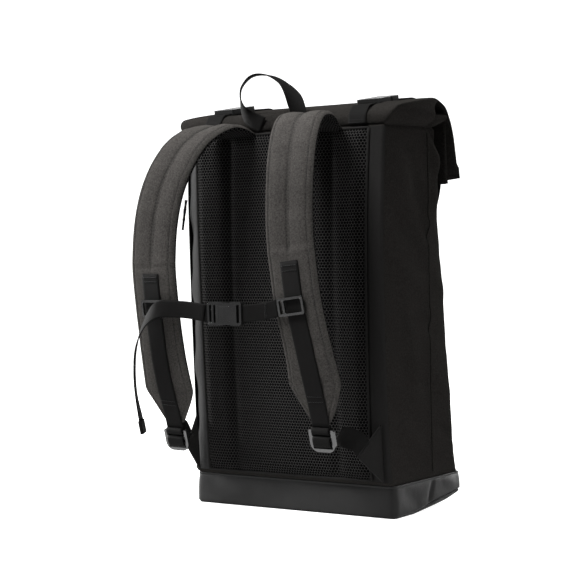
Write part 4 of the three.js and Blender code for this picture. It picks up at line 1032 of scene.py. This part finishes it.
def make_strap(name, canvas, lining):
    stations = strap_frames(name)
    size = [strap_ring(STRAP_WIDTH, STRAP_THICKNESS, STRAP_GROOVE)][0]
    spans = [math.hypot(b[0] - a[0], b[1] - a[1]) for a, b in zip(size, size[1:] + size[:1])]
    counts = [max(3, round(s / 0.0011)) for s in spans]
    rings, marks = [], None
    end = END_ROW * STRAP_STEPS
    for index, (frame, width, thick, groove) in enumerate(stations):
        flat = densify(strap_ring(width, thick, groove), counts, closed=True)
        flat = blur(flat, 1.6, 0, wrap=True)
        x, y = flat[:, 0], flat[:, 1]
        top = y > 0.3 * thick
        stitch = groove / STRAP_GROOVE
        crease = 0.0016 * stitch * np.exp(-((x / 0.0012) ** 2))
        hem = 0.0011 * np.exp(-(((abs(x) - width / 2 + 0.0065) / 0.0013) ** 2))
        seam = 0.0014 * math.exp(-(((index - end) / 1.6) ** 2))
        flat[:, 1] = np.where(top, y - crease - hem - seam, y)
        wave = 0.0006 * math.sin(index * 0.9 + (2 if name == "left" else 0)) * math.sin(index * 0.23)
        flat[:, 1] += np.where(top, wave, 0)
        rings.append([in_frame(frame, a, b) for a, b in flat])
        if marks is None:
            marks = (flat[:, 1] < 0.02 * thick).astype(int)
    rings = np.array(rings)
    rings = blur(rings, 0.8, 0)
    faces, _, j = grid_faces(len(rings), rings.shape[1], True)
    face_marks = marks[j]
    strap = grid_object(f"padded_strap_{name}", rings, [canvas, lining], wrap=True, caps=True,
                        face_materials=face_marks)
    return shown(strap, "padding", f"shoulder_strap_{name}")


# Webbing


def ribbon_rings(frames, width, thickness, columns=12, edge=0.35):
    """Closed sections of a flat band with rounded edges"""
    half, deep = width / 2, thickness / 2
    top = [(half - edge * thickness, deep), (half, 0.25 * deep), (half, -0.25 * deep), (half - edge * thickness, -deep)]
    inner = half - edge * thickness
    across = [(-inner + 2 * inner * k / columns, deep) for k in range(1, columns)]
    under = [(inner - 2 * inner * k / columns, -deep) for k in range(1, columns)]
    ring = [*top, *under, *[(-x, -y) for x, y in top], *across]
    return np.array([[in_frame(f, x, y) for x, y in ring] for f in frames])


def ribbon(name, frames, width, thickness, material, *nodes):
    rings = ribbon_rings(frames, width, thickness)
    piece = grid_object(name, rings, material, wrap=True, caps=True)
    return shown(piece, "webbing", *nodes)


def make_strap_webbing(name, material):
    lift = GAP + WEBBING_THICKNESS / 2
    stations = strap_frames(name)[TACK_ROW * STRAP_STEPS:]
    frames = []
    for frame, _, thick, _ in stations:
        frames.append((in_frame(frame, 0, thick / 2 + lift), *frame[1:]))
    frame, _, thick, _ = stations[-1]
    frames.append((in_frame(frame, 0, thick / 2 + lift, WEBBING_RUN), *frame[1:]))
    return ribbon(f"strap_band_{name}", frames, WEBBING_WIDTH, WEBBING_THICKNESS, material, f"strap_webbing_{name}")


def lock_frame(name):
    frame, _, thick, _ = strap_frames(name)[-1]
    out = thick / 2 + GAP + WEBBING_THICKNESS / 2
    return (in_frame(frame, 0, out, WEBBING_RUN + GAP + LOCK_HEIGHT / 2), *frame[1:])


# Webbing around the adjuster's bars: out of its face and down from its top, as shares of its height.
LOCK_WRAPS = {
    "top": ((0.06, -0.10), (0.13, 0.02), (0.13, 0.12), (0.02, 0.22), (-0.11, 0.20), (-0.13, 0.06), (-0.11, -0.16)),
    "low": ((-0.13, 0.62), (-0.10, 0.76), (0.02, 0.80), (0.13, 0.68), (0.15, 0.52), (0.13, 0.36), (0.02, 0.28),
            (-0.11, 0.34), (-0.15, 0.50), (-0.17, 0.66)),
}
LOCK_SLOT_MARGIN = 0.0008


def make_lock_wraps(name, material):
    lock = lock_frame(name)
    for place, table in LOCK_WRAPS.items():
        points = [in_frame(lock, 0, out * LOCK_HEIGHT, (down - 0.5) * LOCK_HEIGHT) for out, down in table]
        route = curve_through(points, 6 * len(points))
        frames = frames_along(route, [lock[1]] * len(route))
        rings = ribbon_rings(frames, WEBBING_WIDTH - LOCK_SLOT_MARGIN, WEBBING_THICKNESS * 0.8)
        piece = grid_object(f"lock_wrap_{place}_{name}", rings, material, wrap=True, caps=True)
        shown(piece, "webbing")


def tab_corners(side):
    lift = GAP + STRIP_THICKNESS + TAB_CLEARANCE
    bottom_z = BASE_HEIGHT + 2 * CANVAS_SPREAD
    top_z = bottom_z + TAB_HEIGHT
    edge = HALF_WIDTH * body_values(bottom_z)["side"] - CORNER_RADIUS
    middle_z = (bottom_z + top_z) / 2
    return (np.array([side * edge, back_face(top_z) - lift, top_z]),
            np.array([side * edge, back_face(bottom_z) - lift, bottom_z]),
            np.array([side * (edge - TAB_LEAN), back_face(middle_z) - TAB_REACH, middle_z]))


def make_tab(name, material):
    side = SIDES[name]
    top, bottom, point = tab_corners(side)
    normal = unit(np.cross(top - point, bottom - point))
    if normal[0] * side > 0:
        normal = -normal
    rings = []
    count = 16
    for k in range(count + 1):
        share = k / count * 0.985
        a = top + (point - top) * share
        b = bottom + (point - bottom) * share
        row = [a + (b - a) * s for s in np.linspace(0, 1, 13)]
        front = [p + normal * TAB_THICKNESS for p in row]
        rings.append([*row, *reversed(front)])
    tab = grid_object(f"tab_cloth_{name}", np.array(rings), material, wrap=True, caps=True)
    return shown(tab, "canvas", f"anchor_tab_{name}")


def make_lower_webbing(name, material):
    side = SIDES[name]
    top, bottom, point = tab_corners(side)
    hem = top - point
    end = point + hem * (WEBBING_WIDTH / 2 / np.linalg.norm(hem))
    across = unit(hem)
    to_bottom = bottom - end
    away = unit(across * np.dot(to_bottom, across) - to_bottom)
    lock = lock_frame(name)
    start = in_frame(lock, 0, -LOCK_THICKNESS / 2 - 5 * GAP, 0.002)
    leave = end + away * 0.014
    middle = (start + leave) / 2 + np.array([-side * 0.003, 0, 0.005])
    end = end + away * (2 * GAP + TAB_THICKNESS / 2)
    route = curve_through([start, middle, leave, end], 36)
    first = np.array([side, 0, 0.1])
    turns = [unit(first + (across - first) * float(soft_step(k / 36, 0, 0.75))) for k in range(37)]
    backwards = in_frame(lock, 0, -1) - in_frame(lock, 0, 0)
    frames = frames_along(route, turns, first=backwards)
    return ribbon(f"lower_band_{name}", frames, WEBBING_WIDTH, WEBBING_THICKNESS, material,
                  f"lower_webbing_{name}")


def slider_frame(name):
    frame, _, thick, _ = strap_frames(name)[SLIDER_ROW * STRAP_STEPS]
    out = thick / 2 + 2 * GAP + WEBBING_THICKNESS + SLIDER_THICKNESS / 2
    return (in_frame(frame, 0, out), *frame[1:])


def slider_edge(name):
    reach = WEBBING_WIDTH / 2 + 2 * SLIDER_BAR + SLIDER_LOOP
    return in_frame(slider_frame(name), -SIDES[name] * (reach + 2 * GAP), 0)


def sternum_middle():
    left, right = slider_edge("left"), slider_edge("right")
    return np.array([0, (left[1] + right[1]) / 2, (left[2] + right[2]) / 2 - STERNUM_SAG])


def sternum_route(name, count):
    side = SIDES[name]
    start, end = slider_edge(name), sternum_middle()
    end[0] = side * (STERNUM_BUCKLE_LENGTH / 2 + GAP)
    middle = (start + end) / 2 + np.array([0, 0, STERNUM_BEND[name]])
    return curve_through([start, middle, end], count)


def make_sternum_webbing(name, material):
    route = sternum_route(name, 24)
    inwards = (-SIDES[name], 0, 0)
    frames = frames_along(route, [(0, 0, 1)] * len(route), first=inwards, last=inwards)
    return ribbon(f"chest_band_{name}", frames, STERNUM_WIDTH, WEBBING_THICKNESS, material,
                  f"sternum_webbing_{name}")


def tail_frames():
    webbing = sternum_route("left", 100)
    lying = [webbing[round(share * 100)] - np.array([0, lift * WEBBING_THICKNESS, 0])
             for share, lift in TAIL_ON_WEBBING]
    slider = slider_frame("left")[0]
    hanging = [slider + np.array([r, -f, u]) * TAIL_DROP for r, f, u, _ in TAIL_ROWS]
    points = [*lying, *hanging]
    steps = 8
    count = (len(points) - 1) * steps
    route = curve_through(points, count)
    turns = [(0,)] * len(lying) + [(row[3],) for row in TAIL_ROWS]
    across = []
    for index in range(count + 1):
        angle = math.radians(blend_rows(turns, index / steps)[0])
        across.append(np.array([0, 0, math.cos(angle)]) + np.array([-0.59, 0.81, 0]) * math.sin(angle))
    return frames_along(route, across)


def make_tail(material):
    ribbon("chest_tail", tail_frames(), STERNUM_WIDTH, WEBBING_THICKNESS, material, "sternum_tail")
    frame = tail_frames()[-1]
    frames = [(in_frame(frame, 0, 0, GAP + TIP_LENGTH * k / 8), *frame[1:]) for k in range(9)]
    ribbon("chest_tail_tip", frames, STERNUM_WIDTH + 0.001, TIP_THICKNESS, material, "sternum_tail_tip")


# Closure straps and handle


def roll_surface(distance):
    line = [np.array([back_face(SEAM_HEIGHT), SEAM_HEIGHT + GAP]), *[outer for outer, *_ in roll_lines()]]
    out = []
    for index, point in enumerate(line):
        a = unit(point - line[max(index - 1, 0)]) if index > 0 else unit(line[1] - line[0])
        b = unit(line[min(index + 1, len(line) - 1)] - point) if index < len(line) - 1 else a
        normal = unit(np.array([-a[1] - b[1], a[0] + b[0]]))
        ends = index in (0, len(line) - 1)
        cosine = 1 if ends else normal @ np.array([-a[1], a[0]])
        out.append(point + normal * distance / cosine)
    return out


def closure_line():
    line = roll_surface(GAP + BUCKLE_THICKNESS / 2)
    along = unit(line[3] - line[2])
    start = line[2] + along * CLOSURE_LEAD
    return start, start + along * CLOSURE_BUCKLE_LENGTH, along


def below_buckle(point, along):
    drop = (BUCKLE_THICKNESS - WEBBING_THICKNESS) / 2
    return np.array([point[0] + along[1] * drop, point[1] - along[0] * drop])


def closure_frames(name, line, smooth=2.0):
    route = np.array([(CLOSURE_PLACES[name], p[0], p[1]) for p in line])
    spans = np.linalg.norm(np.diff(route, axis=0), axis=1)
    route = densify(route, [max(2, round(s / 0.003)) for s in spans])
    ends = route[[0, -1]].copy()
    route = blur(route, smooth, 0)
    route[[0, -1]] = ends
    return frames_along(route, [(1, 0, 0)] * len(route))


def make_closure_back(name, material):
    line = roll_surface(GAP + WEBBING_THICKNESS / 2)
    start, _, along = closure_line()
    reach = below_buckle(start, along) - along * 2 * GAP
    foot = line[0] + (line[1] - line[0]) * 0.1
    frames = closure_frames(name, [foot, line[1], line[2], reach], 1.0)
    return ribbon(f"closure_band_back_{name}", frames, WEBBING_WIDTH, WEBBING_THICKNESS, material,
                  f"closure_back_webbing_{name}")


def make_closure_front(name, material):
    line = roll_surface(GAP + WEBBING_THICKNESS / 2)
    _, end, along = closure_line()
    start = below_buckle(end, along) + along * 2 * GAP
    mouth = line[-1]
    inner = abs(CLOSURE_PLACES[name]) - WEBBING_WIDTH / 2

    def on_front(z):
        return np.array([front_face(z, inner) + 2 * GAP + WEBBING_THICKNESS, z])

    hang = [
        mouth + np.array([-0.02, -0.14]) * CLOSURE_HANG,
        mouth + np.array([-0.12, -0.36]) * CLOSURE_HANG,
        on_front(mouth[1] - 0.58 * CLOSURE_HANG),
        on_front(mouth[1] - CLOSURE_HANG),
    ]
    frames = closure_frames(name, [start, *line[4:], *hang])
    return ribbon(f"closure_band_front_{name}", frames, WEBBING_WIDTH, WEBBING_THICKNESS, material,
                  f"closure_front_webbing_{name}")


def make_handle(material):
    back = back_face(SEAM_HEIGHT) - GAP - WEBBING_THICKNESS / 2
    points = [(a * HANDLE_HALF_WIDTH, back - HANDLE_LEAN * lean, SEAM_HEIGHT + HANDLE_RISE * rise)
              for a, rise, lean, _ in HANDLE_ROWS]
    steps = 8
    count = (len(points) - 1) * steps
    route = curve_through(points, count)
    tangents = np.gradient(route, axis=0)
    across = []
    for index, tangent in enumerate(tangents):
        edge = math.radians(blend_rows(HANDLE_ROWS, index / steps)[3])
        foot = min(1, max(0, (min(index, count - index) / (steps / 2) - 1) / 5))
        radial = np.array([-tangent[2], 0, tangent[0]]) / np.linalg.norm(tangent)
        deep = np.array([-math.sin(edge), math.cos(edge), 0])
        across.append(unit(radial * (1 - foot) + deep * foot))
    frames = frames_along(route, across)
    return ribbon("handle_band", frames, HANDLE_WIDTH, WEBBING_THICKNESS, material, "haul_handle")


# Side zip


def zip_point(z, share, lift):
    outline = body_right(body_values(z))
    a, b = np.array(outline[2]), np.array(outline[3])
    point = a + (b - a) * share
    return np.array([-point[0] - lift, point[1], z])


def make_zip(tape, metal):
    outline = body_right(body_values((ZIP_BOTTOM + ZIP_TOP) / 2))
    span = math.hypot(outline[3][0] - outline[2][0], outline[3][1] - outline[2][1])
    low, high = 0.003 / span, (0.003 + ZIP_WIDTH) / span
    rows = []
    for z in np.linspace(ZIP_BOTTOM, ZIP_TOP, 120):
        row = [zip_point(z, low, 0.0)]
        for share in np.linspace(0, 1, 13):
            ridge = 0.0007 * math.exp(-(((share - 0.5) / 0.08) ** 2))
            row.append(zip_point(z, low + (high - low) * share, GAP + STRIP_THICKNESS * 0.7 + ridge))
        row.append(zip_point(z, high, 0.0))
        rows.append(row)
    shown(grid_object("zip_tape", rows, tape, flip=True), "webbing", "side_zip")
    teeth = bmesh.new()
    middle = (low + high) / 2
    count = 150
    for k in range(count):
        z = ZIP_BOTTOM + (ZIP_TOP - ZIP_BOTTOM) * (k + 0.5) / count
        centre = zip_point(z, middle + (0.0006 if k % 2 else -0.0006) / span, GAP + STRIP_THICKNESS + 0.0002)
        size = Matrix.Diagonal((0.0008, 0.0026, 0.0013, 1.0))
        bmesh.ops.create_cube(teeth, size=1.0, matrix=Matrix.Translation(Vector(centre)) @ size)
    mesh = bpy.data.meshes.new("zip_teeth")
    teeth.to_mesh(mesh)
    teeth.free()
    mesh.materials.append(metal)
    obj = bpy.data.objects.new("zip_teeth", mesh)
    bpy.context.scene.collection.objects.link(obj)
    shown(obj, "plastic")


def make_zip_pull(material):
    swing = 0.005
    lift = GAP + STRIP_THICKNESS + GAP + PULL_WIDTH / 2
    points = []
    for share in (0, 0.5, 1):
        z = PULL_TOP - share * PULL_LENGTH
        points.append(zip_point(z, 0.05, lift) + np.array([-share * swing, -share * swing / 2, 0]))
    route = curve_through(points, 20)
    frames = frames_along(route, [(0, 1, 0)] * len(route))
    rings = []
    for index, frame in enumerate(frames):
        share = index / (len(frames) - 1)
        radius = PULL_WIDTH / 2 * (0.75 + 0.25 * math.cos(share * 9) ** 2 * (1 if share < 0.7 else 0))
        rings.append([in_frame(frame, radius * math.cos(a), radius * math.sin(a))
                      for a in np.linspace(0, 2 * math.pi, 12, endpoint=False)])
    shown(grid_object("zip_pull_cord", rings, material, wrap=True, caps=True), "webbing", "zip_pull")


# Stitches


def stitch_row(target, route, outwards, length=0.0028, gap=0.0014, radius=0.00032):
    """Adds short threads along a route, each lying on the surface"""
    route = np.asarray(route, float)
    distance = np.concatenate([[0], np.cumsum(np.linalg.norm(np.diff(route, axis=0), axis=1))])
    pitch = length + gap
    for k in range(int(distance[-1] / pitch)):
        a, b = k * pitch + gap / 2, k * pitch + gap / 2 + length
        ends = [np.array([np.interp(s, distance, route[:, i]) for i in range(3)]) for s in (a, b)]
        out = np.asarray(outwards(k / max(1, distance[-1] / pitch)), float)
        along = unit(ends[1] - ends[0])
        side = unit(np.cross(along, out))
        out = np.cross(side, along)
        start = len(target["v"])
        for end, drop in ((ends[0], 0.0), (ends[0] + along * length * 0.2, 1.0),
                          (ends[1] - along * length * 0.2, 1.0), (ends[1], 0.0)):
            for angle in np.linspace(0, 2 * math.pi, 5, endpoint=False):
                ring = side * math.cos(angle) + out * math.sin(angle)
                target["v"].append(end + ring * radius * (0.55 + 0.45 * drop) + out * radius * 0.5 * drop)
        for i in range(3):
            for j in range(5):
                a0, a1 = start + i * 5 + j, start + i * 5 + (j + 1) % 5
                target["f"].append((a0, a1, a1 + 5, a0 + 5))
        target["f"].append(tuple(range(start + 4, start - 1, -1)))
        target["f"].append(tuple(range(start + 15, start + 20)))


def strap_stitches(target, name):
    stations = strap_frames(name)
    for share, rows in ((-1, None), (1, None)):
        for inwards in (0.0065,):
            route, outs = [], []
            for frame, width, thick, _ in stations[6:END_ROW * STRAP_STEPS - 2]:
                x = share * (width / 2 - inwards)
                route.append(in_frame(frame, x, thick * 0.44 - 0.0008))
                outs.append(frame[2])
            stitch_row(target, route, lambda s, o=outs: o[min(len(o) - 1, int(s * len(o)))])
    stop = TACK_ROW * STRAP_STEPS
    for offset in (-0.0022, 0.0022):
        route, outs = [], []
        for frame, width, thick, groove in stations[10:stop - 4]:
            depth = groove * 0.62
            route.append(in_frame(frame, offset, thick / 2 - depth))
            outs.append(frame[2])
        stitch_row(target, route, lambda s, o=outs: o[min(len(o) - 1, int(s * len(o)))])
    lift = GAP + WEBBING_THICKNESS
    for index in (stop + 1, stop + 2, (END_ROW + 1) * STRAP_STEPS - 4, (END_ROW + 1) * STRAP_STEPS - 2):
        frame, _, thick, _ = stations[index]
        route = [in_frame(frame, x, thick / 2 + lift) for x in np.linspace(-0.0105, 0.0105, 12)]
        stitch_row(target, route, lambda s, f=frame: f[2], 0.0018, 0.0005, 0.00042)
    frame, width, thick, _ = stations[END_ROW * STRAP_STEPS]
    for side in (-1, 1):
        route = [in_frame(frame, side * x, thick / 2 - 0.0012, 0.002) for x in np.linspace(0.0135, width / 2 - 0.006, 12)]
        stitch_row(target, route, lambda s, f=frame: f[2])


def webbing_stitches(target):
    for name, side in SIDES.items():
        route = sternum_route(name, 40)
        shares = (0.36,) if side > 0 else ()
        for share in shares:
            point = route[round(share * 40)]
            for dx in (0, 0.0018):
                line = [point + np.array([dx, -WEBBING_THICKNESS / 2, z]) for z in np.linspace(-0.009, 0.009, 10)]
                stitch_row(target, line, lambda s: (0, -1, 0), 0.0017, 0.0005, 0.0004)
        frames = closure_frames(name, [roll_surface(GAP + WEBBING_THICKNESS)[0], roll_surface(GAP + WEBBING_THICKNESS)[1],
                                       roll_surface(GAP + WEBBING_THICKNESS)[2]], 1.0)
        for index in (1, 2):
            frame = frames[index]
            line = [in_frame(frame, x, 0.0) for x in np.linspace(-0.011, 0.011, 12)]
            stitch_row(target, line, lambda s, f=frame: f[2], 0.0018, 0.0005, 0.0004)


def make_stitches(material):
    target = {"v": [], "f": []}
    for name in SIDES:
        strap_stitches(target, name)
    webbing_stitches(target)
    obj = mesh_object("stitching", target["v"], target["f"], material)
    shown(obj, "webbing")


# Plastics keep their solids, with rounded edges


def finish_plastics(material):
    names = [n for n in frame["nodes"] if n.startswith(("ladder_lock", "sternum_slider", "sternum_buckle",
                                                       "closure_buckle"))]
    for name in names:
        obj = frame["nodes"][name]
        obj.data.materials.clear()
        obj.data.materials.append(material)
        weld = obj.modifiers.new("weld", "WELD")
        weld.merge_threshold = 0.00005
        bevel = obj.modifiers.new("bevel", "BEVEL")
        bevel.width = 0.0014
        bevel.segments = 4
        bevel.limit_method = "ANGLE"
        bevel.angle_limit = math.radians(35)
        bevel.harden_normals = False
        smooth = obj.modifiers.new("smooth", "WEIGHTED_NORMAL")
        smooth.keep_sharp = False
        obj.data.polygons.foreach_set("use_smooth", np.ones(len(obj.data.polygons), bool))


# Stage


def make_stage():
    rows = []
    profile = [(-0.6, 0.0), (2.5, 0.0)]
    profile += [(2.5 + 1.5 * math.sin(a), 1.5 - 1.5 * math.cos(a)) for a in np.linspace(0.1, math.pi / 2, 16)]
    turn = math.radians(CAMERA_AZIMUTH)
    for forward, height in profile:
        row = []
        for across in np.linspace(-1.15, 1.15, 12):
            x = across * math.cos(turn) - forward * math.sin(turn)
            y = across * math.sin(turn) + forward * math.cos(turn)
            row.append((x, y, height))
        rows.append(row)
    floor = grid_object("floor", rows, floor_material())


def add_light(name, place, aim, size, power, color=(1, 1, 1)):
    light = bpy.data.lights.new(name, "AREA")
    light.energy = power
    light.size = size
    light.color = color
    obj = bpy.data.objects.new(name, light)
    obj.location = place
    direction = Vector(aim) - Vector(place)
    obj.rotation_euler = direction.to_track_quat("-Z", "Y").to_euler()
    bpy.context.scene.collection.objects.link(obj)


def make_lights():
    world = bpy.data.worlds.new("studio")
    world.use_nodes = True
    background = world.node_tree.nodes["Background"]
    background.inputs["Color"].default_value = (1, 1, 1, 1)
    background.inputs["Strength"].default_value = 0.22
    bpy.context.scene.world = world
    right, up, back, eye = camera_axes()
    centre = Vector((0, 0, 0.3))
    key = centre + back * 0.9 - right * 1.3 + Vector((0, 0, 2.3))
    top = centre + back * 0.2 + right * 0.4 + Vector((0, 0, 2.2))
    rim = centre - back * 1.7 + right * 1.7 + Vector((0, 0, 0.1))
    left = centre - back * 1.2 - right * 2.2 + Vector((0, 0, 0.4))
    fill = centre + back * 1.6 + right * 1.5 + Vector((0, 0, 0.5))
    add_light("key", key, centre, 0.9, 240)
    add_light("top", top, centre, 1.0, 60)
    add_light("rim", rim, centre, 0.6, 45)
    add_light("left", left, centre, 0.8, 260)
    add_light("fill", fill, centre, 0.8, 16)


def camera_axes():
    a, e, r = (math.radians(v) for v in (CAMERA_AZIMUTH, CAMERA_ELEVATION, CAMERA_ROLL))
    back = Vector((math.sin(a) * math.cos(e), -math.cos(a) * math.cos(e), math.sin(e)))
    right = Vector((math.cos(a), math.sin(a), 0))
    up = back.cross(right)
    turned_right = right * math.cos(r) + up * math.sin(r)
    turned_up = -right * math.sin(r) + up * math.cos(r)
    eye = (Vector(CAMERA_AIM) + back * CAMERA_DISTANCE + turned_right * CAMERA_SHIFT[0]
           + turned_up * CAMERA_SHIFT[1])
    return turned_right, turned_up, back, eye


def make_camera():
    right, up, back, eye = camera_axes()
    data = bpy.data.cameras.new("photo_camera")
    data.lens = CAMERA_LENS
    data.sensor_width = 36
    camera = bpy.data.objects.new("photo_camera", data)
    turn = Matrix((right, up, back)).transposed().to_4x4()
    camera.matrix_world = Matrix.Translation(eye) @ turn
    bpy.context.scene.collection.objects.link(camera)
    bpy.context.scene.camera = camera


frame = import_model()
make_camera()

CANVAS = canvas_material("canvas", 0.0085, 0.07, heather=0.7)
PADDING = canvas_material("padding_canvas", 0.0245, 0.06, heather=0.7)
STRIP = canvas_material("strip_canvas", 0.0095, 0.02, heather=0.15)
# Brighter copy of the strip canvas for the left edge strip: painted highlight where the lamps light the left back
# corner.
PAINTED_LIT_STRIP = canvas_material("strip_canvas_painted_highlight", 0.022, 0.0, heather=0.3)
LINING = mesh_material()
COATED = coated_material()
WEBBING = webbing_material()
PLASTIC = plastic_material()
THREAD = thread_material()

make_shell(CANVAS)
make_base(COATED)
make_back_pad(LINING, STRIP)
for side_name in SIDES:
    # the left edge strip takes the brighter copy, whose extra lightness is painted highlight
    make_edge_strip(side_name, STRIP if side_name == "right" else PAINTED_LIT_STRIP)
    make_strap(side_name, PADDING, LINING)
    make_strap_webbing(side_name, WEBBING)
    make_tab(side_name, STRIP)
    make_lower_webbing(side_name, WEBBING)
    make_lock_wraps(side_name, WEBBING)
    make_sternum_webbing(side_name, WEBBING)
    make_closure_back(side_name, WEBBING)
    make_closure_front(side_name, WEBBING)
make_handle(WEBBING)
make_tail(WEBBING)
make_zip(WEBBING, PLASTIC)
make_zip_pull(WEBBING)
make_stitches(THREAD)
finish_plastics(PLASTIC)
make_stage()
make_lights()
bpy.context.scene.view_settings.view_transform = "Standard"

bpy.context.view_layer.update()
